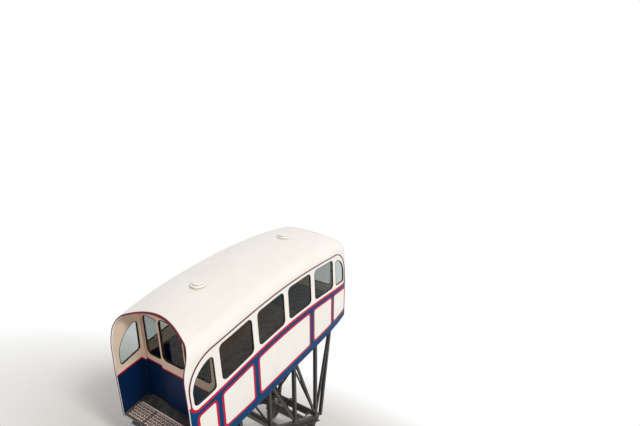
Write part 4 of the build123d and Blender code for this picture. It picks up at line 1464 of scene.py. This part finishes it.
@dataclass
class Upholstery:
    """Crowned seat and back cushions on one row of the benches."""

    node: str
    kind: str
    crown: float
    grid: int = 14
    margin: float = 0.004
    pinch: float = 0.035
    channel: float = 0.06
    piping_r: float = 0.004

    def build(self) -> None:
        """Make a crowned cushion in the place of each plain one."""
        for index, part in enumerate(loose_parts(self.node)):
            self.cushion(index, part)

    def cushion(self, index: int, part: Sequence[Vector]) -> None:
        """Make one cushion inside its solid's own box.

        Args:
            index: The cushion's number.
            part: The corners of its solid.
        """
        middle = sum(part, Vector()) / len(part)
        side = Side.LEFT if middle.y > 0 else Side.RIGHT
        axes = self.axes(part, side)
        low, high = part_box(part)
        spans = [2 * max(abs((p - middle).dot(axis)) for p in part) for axis in axes]
        spans[0] = high.x - low.x
        draft = Draft()
        top, bottom = (self.face(middle, axes, spans, up) for up in (True, False))
        draft.strip(top)
        draft.strip(bottom)
        draft.strip([self.rim(bottom), self.rim(top)], loop=True)
        name = f"{side.label}_{index}"
        made = draft.piece(f"{self.kind}_{name}", CLOTH, Body.CAR, CUSHION_CREASE)
        cord = Draft()
        cord.sweep(self.rim(top), self.piping_r, 8, closed=True)
        cord.piece(f"{self.kind}_piping_{name}", PIPING, Body.CAR, CUSHION_CREASE)
        if index == 0:
            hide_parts(self.node)

    def axes(self, part: Sequence[Vector], side: Side) -> tuple[Vector, Vector, Vector]:
        """The cushion's length, depth and thickness directions.

        Args:
            part: The corners of its solid.
            side: The side of the car that it stands on.

        Returns:
            Three unit vectors.
        """
        along = Vector((1.0, 0.0, 0.0))
        if self.kind == "seat_pad":
            return along, Vector((0.0, side.value, 0.0)), Vector((0.0, 0.0, 1.0))
        corners = sorted((p for p in part if p.x > sum(q.x for q in part) / len(part)), key=lambda p: p.z)
        rise = (corners[-1] + corners[-2] - corners[0] - corners[1]).normalized()
        rise.x = 0.0
        rise.normalize()
        return along, rise, along.cross(rise) * side.value

    def face(
        self, middle: Vector, axes: Sequence[Vector], spans: Sequence[float], crowned: bool
    ) -> list[list[Vector]]:
        """One broad face of a cushion, with rounded corners.

        Args:
            middle: The cushion's middle.
            axes: Its length, depth and thickness directions.
            spans: Its length, depth and thickness.
            crowned: Whether it has the crown, and on a back cushion the shallow channel, or is flat.

        Returns:
            Rows of points.
        """
        along, deep, thick = axes
        edge = 0.5 - self.crown / spans[2]
        steps = [-1 + 2 * i / self.grid for i in range(self.grid + 1)]
        rows = []
        for u in steps:
            row = []
            for v in steps:
                pull = 1 - self.pinch * (1 - v * v) * abs(u) ** 6
                dip = 1 - self.pinch * (1 - u * u) * abs(v) ** 6
                soft = (1 - abs(u) ** 4) * (1 - abs(v) ** 4)
                rise = edge + (0.5 - edge) * soft if crowned else -0.5
                if crowned and self.kind == "back_pad":
                    rise -= self.channel * math.exp(-((v / 0.05) ** 2)) * soft
                corner = 1 - 0.02 * (u * v) ** 8
                point = middle + along * u * pull * corner * (spans[0] / 2 - self.margin)
                point = point + deep * v * dip * corner * (spans[1] / 2 - self.margin)
                row.append(point + thick * rise * (spans[2] - 0.003))
            rows.append(row)
        return rows

    @staticmethod
    def rim(rows: Sequence[Sequence[Vector]]) -> list[Vector]:
        """The points round the edge of a face, in order."""
        ring = [*rows[0], *(row[-1] for row in rows[1:]), *reversed(rows[-1][:-1])]
        return ring + [row[0] for row in reversed(rows[1:-1])]


@dataclass
class Saloon:
    """Fittings inside the saloon: bench rails, lamp rings and grab rail sockets."""

    seat_rise: float = 0.4
    batten_pitch: float = 0.47
    socket_pitch: float = 0.82
    rail_r: float = 0.016

    def build(self) -> None:
        """Fit out the saloon."""
        for side in Side:
            self.bench_rails(side)
        self.lamp_rings()
        self.rail_sockets()

    def bench_rails(self, side: Side) -> None:
        """Run a rounded timber rail along the front of a bench and over its back, with battens below."""
        low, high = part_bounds(f"bench_{side.label}")
        front, back = (low.y, high.y) if side is Side.LEFT else (high.y, low.y)
        length = high.x - low.x
        mid_x = (low.x + high.x) / 2
        draft = Draft()
        front_place = (mid_x, front + side.value * 0.008, SIZES.floor_z + self.seat_rise - 0.011)
        draft.block((length + 0.004, 0.026, 0.03), front_place, 0.006)
        back_place = (mid_x, back - side.value * 0.012, high.z + 0.008)
        draft.block((length + 0.004, 0.03, 0.02), back_place, 0.005)
        bays = int(length / self.batten_pitch)
        for k in range(bays + 1):
            x = low.x + 0.02 + k * (length - 0.04) / bays
            batten = (x, front + side.value * 0.066, SIZES.floor_z + 0.19)
            draft.block((0.03, 0.012, 0.36), batten, 0.003)
        draft.piece(f"bench_rails_{side.label}", OAK, Body.CAR)

    def lamp_rings(self) -> None:
        """Fit a bright ring round each ceiling lamp."""
        draft = Draft()
        for part in loose_parts("ceiling_lamps"):
            low, high = part_box(part)
            r = (high.y - low.y) / 2
            place = Matrix.Translation(((low.x + high.x) / 2, (low.y + high.y) / 2, low.z + 0.028))
            section = ((-0.002, 0.0), (0.006, 0.001), (0.008, 0.006), (0.004, 0.011), (-0.002, 0.012))
            draft.lathe([(r + out, z) for out, z in section], place, 48)
        draft.piece("lamp_rings", CHROME, Body.CAR)

    def rail_sockets(self) -> None:
        """Fit a turned rose where each hanger meets its rail, and one at each end."""
        draft = Draft()
        rose = [(0.0165, -0.022), (0.021, -0.018), (0.021, 0.018), (0.0165, 0.022)]
        last = [(0.0165, -0.03), (0.019, -0.028), (0.019, 0.0), (0.012, 0.004), (0.002, 0.004)]
        for part in loose_parts("grab_rails"):
            low, high = part_box(part)
            middle = Vector((0.0, (low.y + high.y) / 2, low.z + self.rail_r))
            for k in range(-2, 3):
                self.turned(draft, rose, middle + Vector((k * self.socket_pitch, 0.0, 0.0)), 1)
            for end in End:
                spot = middle + Vector((end.value * (high.x - 0.004), 0.0, 0.0))
                self.turned(draft, last, spot, end.value)
        draft.piece("rail_sockets", CHROME, Body.CAR)

    @staticmethod
    def turned(draft: Draft, profile: Outline, spot: Vector, way: int) -> None:
        """Turn a profile about an axis along the car."""
        draft.lathe(profile, Matrix.Translation(spot) @ Matrix.Rotation(way * QUARTER, 4, "Y"), 20)


@dataclass
class WedgeFrame:
    """Gussets, bolts and running gear details of the wedge frame."""

    post_places: tuple[float, ...] = (-1.25, -0.3, 0.65, 1.6)
    plate: float = 0.01
    shallowest: float = 0.3
    lid_y: float = 0.754
    hub_y: float = 0.095
    tread_span: float = 0.088
    tread_parts: int = 72
    buffer_along: float = 1.88
    buffer_y: float = 0.38

    def build(self) -> None:
        """Fit the gussets, the axlebox lids, the wheels' trim and the buffer faces."""
        self.gussets()
        self.axlebox_lids()
        for end in End:
            self.wheel_trim(end)
        self.buffer_faces()

    def on_rail(self, along: float, y: float, height: float) -> Matrix:
        """A place down the slope, across and over the rails, with X down the slope and Z away from it."""
        return Matrix.Translation(SIZES.on_slope(along, y, height)) @ SIZES.slope_turn

    def facing(self, place: Matrix, side: Side) -> Matrix:
        """The same place, turned so that its Z points out to a side."""
        return place @ Matrix.Rotation(-side.value * QUARTER, 4, "X")

    def gussets(self) -> None:
        """Bolt a plate over each joint of the posts with the girders and the level frame."""
        draft = Draft()
        top = SIZES.girder_base + SIZES.girder_height
        c, s = math.cos(SIZES.slope), math.sin(SIZES.slope)
        base_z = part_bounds("sole_channels")[0].z
        for side in Side:
            y = side.value * (SIZES.girder_y + 0.04 + self.plate / 2 - 0.0005)
            for x in self.post_places:
                foot = self.on_rail((x - top * s) / c, y, top + 0.02)
                self.plate_with_bolts(draft, foot, side, (0.26, 0.16))
                if base_z - (top - x * s) / c > self.shallowest:
                    head = Matrix.Translation((x, y, base_z - 0.06))
                    self.plate_with_bolts(draft, head, side, (0.24, 0.12))
        draft.piece("frame_gussets", FRAME_BLACK, Body.CAR)

    def plate_with_bolts(self, draft: Draft, place: Matrix, side: Side, size: Flat) -> None:
        """Add a plate on a side face, with a bolt near each corner and two between.

        Args:
            draft: The piece that takes it.
            place: The plate's middle.
            side: The side that it faces.
            size: Its length and height.
        """
        draft.block((size[0], self.plate, size[1]), place, 0.002)
        face = self.facing(place @ Matrix.Translation((0.0, side.value * self.plate / 2, 0.0)), side)
        for u in (-0.4, 0.0, 0.4):
            for v in (-0.33, 0.33):
                draft.bolt(face @ Matrix.Translation((u * size[0], v * size[1], 0.0)), 0.012, 0.012)

    def axlebox_lids(self) -> None:
        """Fit a round lid with four bolts to each axlebox."""
        draft = Draft()
        lid = [(0.07, -0.001), (0.07, 0.012), (0.06, 0.016), (0.03, 0.017), (0.026, 0.024), (0.003, 0.026)]
        for end in End:
            for side in Side:
                centre = self.on_rail(SIZES.axle(end), side.value * self.lid_y, SIZES.wheel_r)
                place = self.facing(centre, side)
                draft.lathe(lid, place, 36)
                draft.bolt_ring(place, 0.053, 0.0145, 4, (0.008, 0.01), QUARTER / 2)
        draft.piece("axlebox_lids", IRON, Body.CAR)

    def wheel_trim(self, end: End) -> None:
        """Fit a bright band to each tread and a ring of bolts round each hub of a wheelset."""
        bands = Draft()
        bolts = Draft()
        start = SIZES.gauge / 2 - 0.004
        stop = start + self.tread_span
        r = SIZES.wheel_r
        band = [(r - 0.003, start), (r + 0.0004, start), (r - 0.0032, stop), (r - 0.006, stop)]
        for side in Side:
            place = self.facing(self.on_rail(SIZES.axle(end), 0.0, r), side)
            bands.lathe(band, place, self.tread_parts, capped=False)
            bolts.bolt_ring(place, 0.068, SIZES.gauge / 2 + self.hub_y - 0.0005, 8, (0.007, 0.008))
        bands.piece(f"bright_treads_{end.label}", BRIGHT_STEEL, end.axle)
        bolts.piece(f"hub_bolts_{end.label}", IRON, end.axle)

    def buffer_faces(self) -> None:
        """Fit a steel rim to each buffer head and a flange to its stem."""
        rims = Draft()
        flanges = Draft()
        flange = [(0.07, -0.001), (0.07, 0.014), (0.055, 0.018), (0.046, 0.03), (0.0452, 0.03)]
        rim = [(0.0846, 0.128), (0.0862, 0.132), (0.0862, 0.164), (0.08, 0.1695), (0.072, 0.169)]
        height = SIZES.girder_base + SIZES.girder_height / 2
        for side in Side:
            face = self.on_rail(self.buffer_along, side.value * self.buffer_y, height)
            face = face @ Matrix.Rotation(QUARTER, 4, "Y")
            flanges.lathe(flange, face, 36)
            flanges.bolt_ring(face, 0.06, 0.0135, 4, (0.006, 0.008), QUARTER / 2)
            rims.lathe(rim, face, 48, capped=False)
        flanges.piece("buffer_flanges", FRAME_BLACK, Body.CAR)
        rims.piece("buffer_rims", OILED_STEEL, Body.CAR)


FINISHED_NODES: tuple[tuple[Finish, str], ...] = (
    (ROOF, "roof_shell roof_vents"),
    (WINDOW_PANEL, "upper_side_right upper_side_left"),
    (LOWER_PANEL, "lower_side_right lower_side_left"),
    (GLASS, "side_glass bulkhead_glass door_glass_uphill door_glass_downhill"),
    (MAROON, "drip_mouldings"),
    (CRIMSON, "waist_beads"),
    (RIM, "end_rims"),
    (PARTITION, "bulkhead_uphill bulkhead_downhill door_uphill door_downhill"),
    (TRACK_STEEL, "door_tracks"),
    (LINO, "saloon_floor"),
    (FLOOR_SHEET, "platform_plates"),
    (OAK, "bench_right bench_left"),
    (CLOTH, "seat_cushions back_cushions"),
    (CHROME, "grab_rails"),
    (OPAL, "ceiling_lamps"),
    (FRAME_BLACK, "floor_bearers sole_channels girders truss_posts truss_ties sway_braces cross_members"),
    (STEP_GREY, "end_beams"),
    (IRON, "axleboxes track_brakes"),
    (WHEEL_IRON, "wheelset_uphill wheelset_downhill"),
    (OILED_STEEL, "rope_drawbars buffers"),
)


def dress_nodes() -> None:
    """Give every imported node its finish."""
    for finish, names in FINISHED_NODES:
        for name in names.split():
            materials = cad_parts[name].data.materials
            materials.clear()
            materials.append(finish.material())


@dataclass
class Studio:
    """Camera, lights, background and the sloping pale floor that the wheels stand on."""

    place: tuple[float, float, float] = (-6.2706, -5.67, 8.8937)
    yaw: float = math.radians(31.552)
    pitch: float = math.radians(20.149)
    roll: float = math.radians(-0.134)
    focal_pixels: float = 440.33
    width_pixels: float = 640
    sensor: float = 36.0
    sun_way: tuple[float, float, float] = (0.1, 0.8, -0.78)
    sun_energy: float = 1.5
    sun_angle: float = math.radians(14)
    sun_colour: tuple[float, float, float] = (1.0, 0.97, 0.93)
    sky_strength: float = 0.6
    floor_drop: float = 0.03
    floor_reach: float = 9.0
    floor_parts: int = 96
    floor_colour: Colour = tone(236, 234, 230)

    def build(self) -> None:
        """Set up the whole studio."""
        self.set_camera()
        self.set_world()
        self.set_lamps()
        self.lay_floor()
        bpy.context.scene.view_settings.view_transform = "Standard"

    def set_camera(self) -> None:
        """Stand the camera where the photographer stood."""
        data = bpy.data.cameras.new("view")
        data.sensor_width = self.sensor
        data.lens = self.focal_pixels / self.width_pixels * self.sensor
        data.clip_start = 0.1
        data.clip_end = 200.0
        camera = link("view", data)
        level = Vector((math.cos(self.yaw), math.sin(self.yaw), 0.0))
        right = Vector((math.sin(self.yaw), -math.cos(self.yaw), 0.0))
        down = Vector((0.0, 0.0, -1.0))
        ahead = math.cos(self.pitch) * level + math.sin(self.pitch) * down
        below = -math.sin(self.pitch) * level + math.cos(self.pitch) * down
        tilted_right = math.cos(self.roll) * right + math.sin(self.roll) * below
        tilted_down = -math.sin(self.roll) * right + math.cos(self.roll) * below
        turn = Matrix((tilted_right, -tilted_down, -ahead)).transposed().to_4x4()
        camera.matrix_world = Matrix.Translation(self.place) @ turn
        bpy.context.scene.camera = camera

    def set_world(self) -> None:
        """Light the object softly and show a white background."""
        world = bpy.data.worlds.new("studio")
        bpy.context.scene.world = world
        pad = cleared(world)
        light = pad.add("LightPath").outputs
        seen = pad.math("MAXIMUM", light["Is Camera Ray"], light["Is Transmission Ray"])
        seen = pad.math("MAXIMUM", seen, light["Is Glossy Ray"])
        strength = pad.spread(seen, 0.0, 1.0, self.sky_strength, 1.0)
        glow = pad.add("Background", {"Color": (1.0, 1.0, 1.0, 1.0), "Strength": strength})
        pad.add("OutputWorld", {"Surface": glow.outputs["Background"]})

    def set_lamps(self) -> None:
        """Hang one broad soft sun."""
        data = bpy.data.lights.new("key", "SUN")
        data.energy = self.sun_energy
        data.angle = self.sun_angle
        data.color = self.sun_colour
        link("key", data).rotation_euler = Vector(self.sun_way).to_track_quat("-Z", "Y").to_euler()

    def lay_floor(self) -> None:
        """Lay a pale round floor along the slope, fading out at its edge and clear from below."""
        centre = SIZES.on_slope(0.0, 0.0, -self.floor_drop)
        place = Matrix.Translation(centre) @ SIZES.slope_turn
        reach = self.floor_reach
        turns = circle(self.floor_parts)
        ring = [place @ Vector((reach * math.cos(a), reach * math.sin(a), 0.0)) for a in turns]
        mesh = bpy.data.meshes.new("studio_floor")
        mesh.from_pydata([tuple(p) for p in ring], [], [tuple(range(self.floor_parts))])
        floor = link("studio_floor", mesh)
        material = bpy.data.materials.new("studio_floor")
        pad = cleared(material)
        spot = pad.add("NewGeometry").outputs
        arm = pad.add("VectorMath", {0: spot["Position"], 1: tuple(centre)}, operation="DISTANCE")
        fade = pad.spread(arm.outputs["Value"], reach * 0.45, reach * 0.97)
        matt = pad.add("BsdfDiffuse", {"Color": self.floor_colour}).outputs["BSDF"]
        clear = pad.add("BsdfTransparent").outputs["BSDF"]
        mix = pad.add("MixShader", {0: pad.math("MAXIMUM", fade, spot["Backfacing"]), 1: matt, 2: clear})
        pad.add("OutputMaterial", {"Surface": mix.outputs["Shader"]})
        mesh.materials.append(material)


def main() -> None:
    """Build the dressed car and its studio."""
    logging.basicConfig(level=logging.INFO, format="%(name)s %(message)s")
    Studio().build()
    dress_nodes()
    for side in Side:
        skin = BodySkin(side)
        Livery(side, skin).build()
        SideGlazing(side, skin).build()
    for end in End:
        near = end.value * SIZES.bulkhead_x
        FlatGlazing("bulkhead_glass", Body.CAR, near, near - end.value * SIZES.bulkhead_thickness).build()
        low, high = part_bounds(f"door_{end.label}")
        faces = (low.x, high.x) if end is End.UPHILL else (high.x, low.x)
        FlatGlazing(f"door_glass_{end.label}", end.door, *faces).build()
        EndPlatform(end).build()
    Upholstery("seat_cushions", "seat_pad", 0.014).build()
    Upholstery("back_cushions", "back_pad", 0.012).build()
    Saloon().build()
    WedgeFrame().build()


if __name__ == "__main__":
    main()
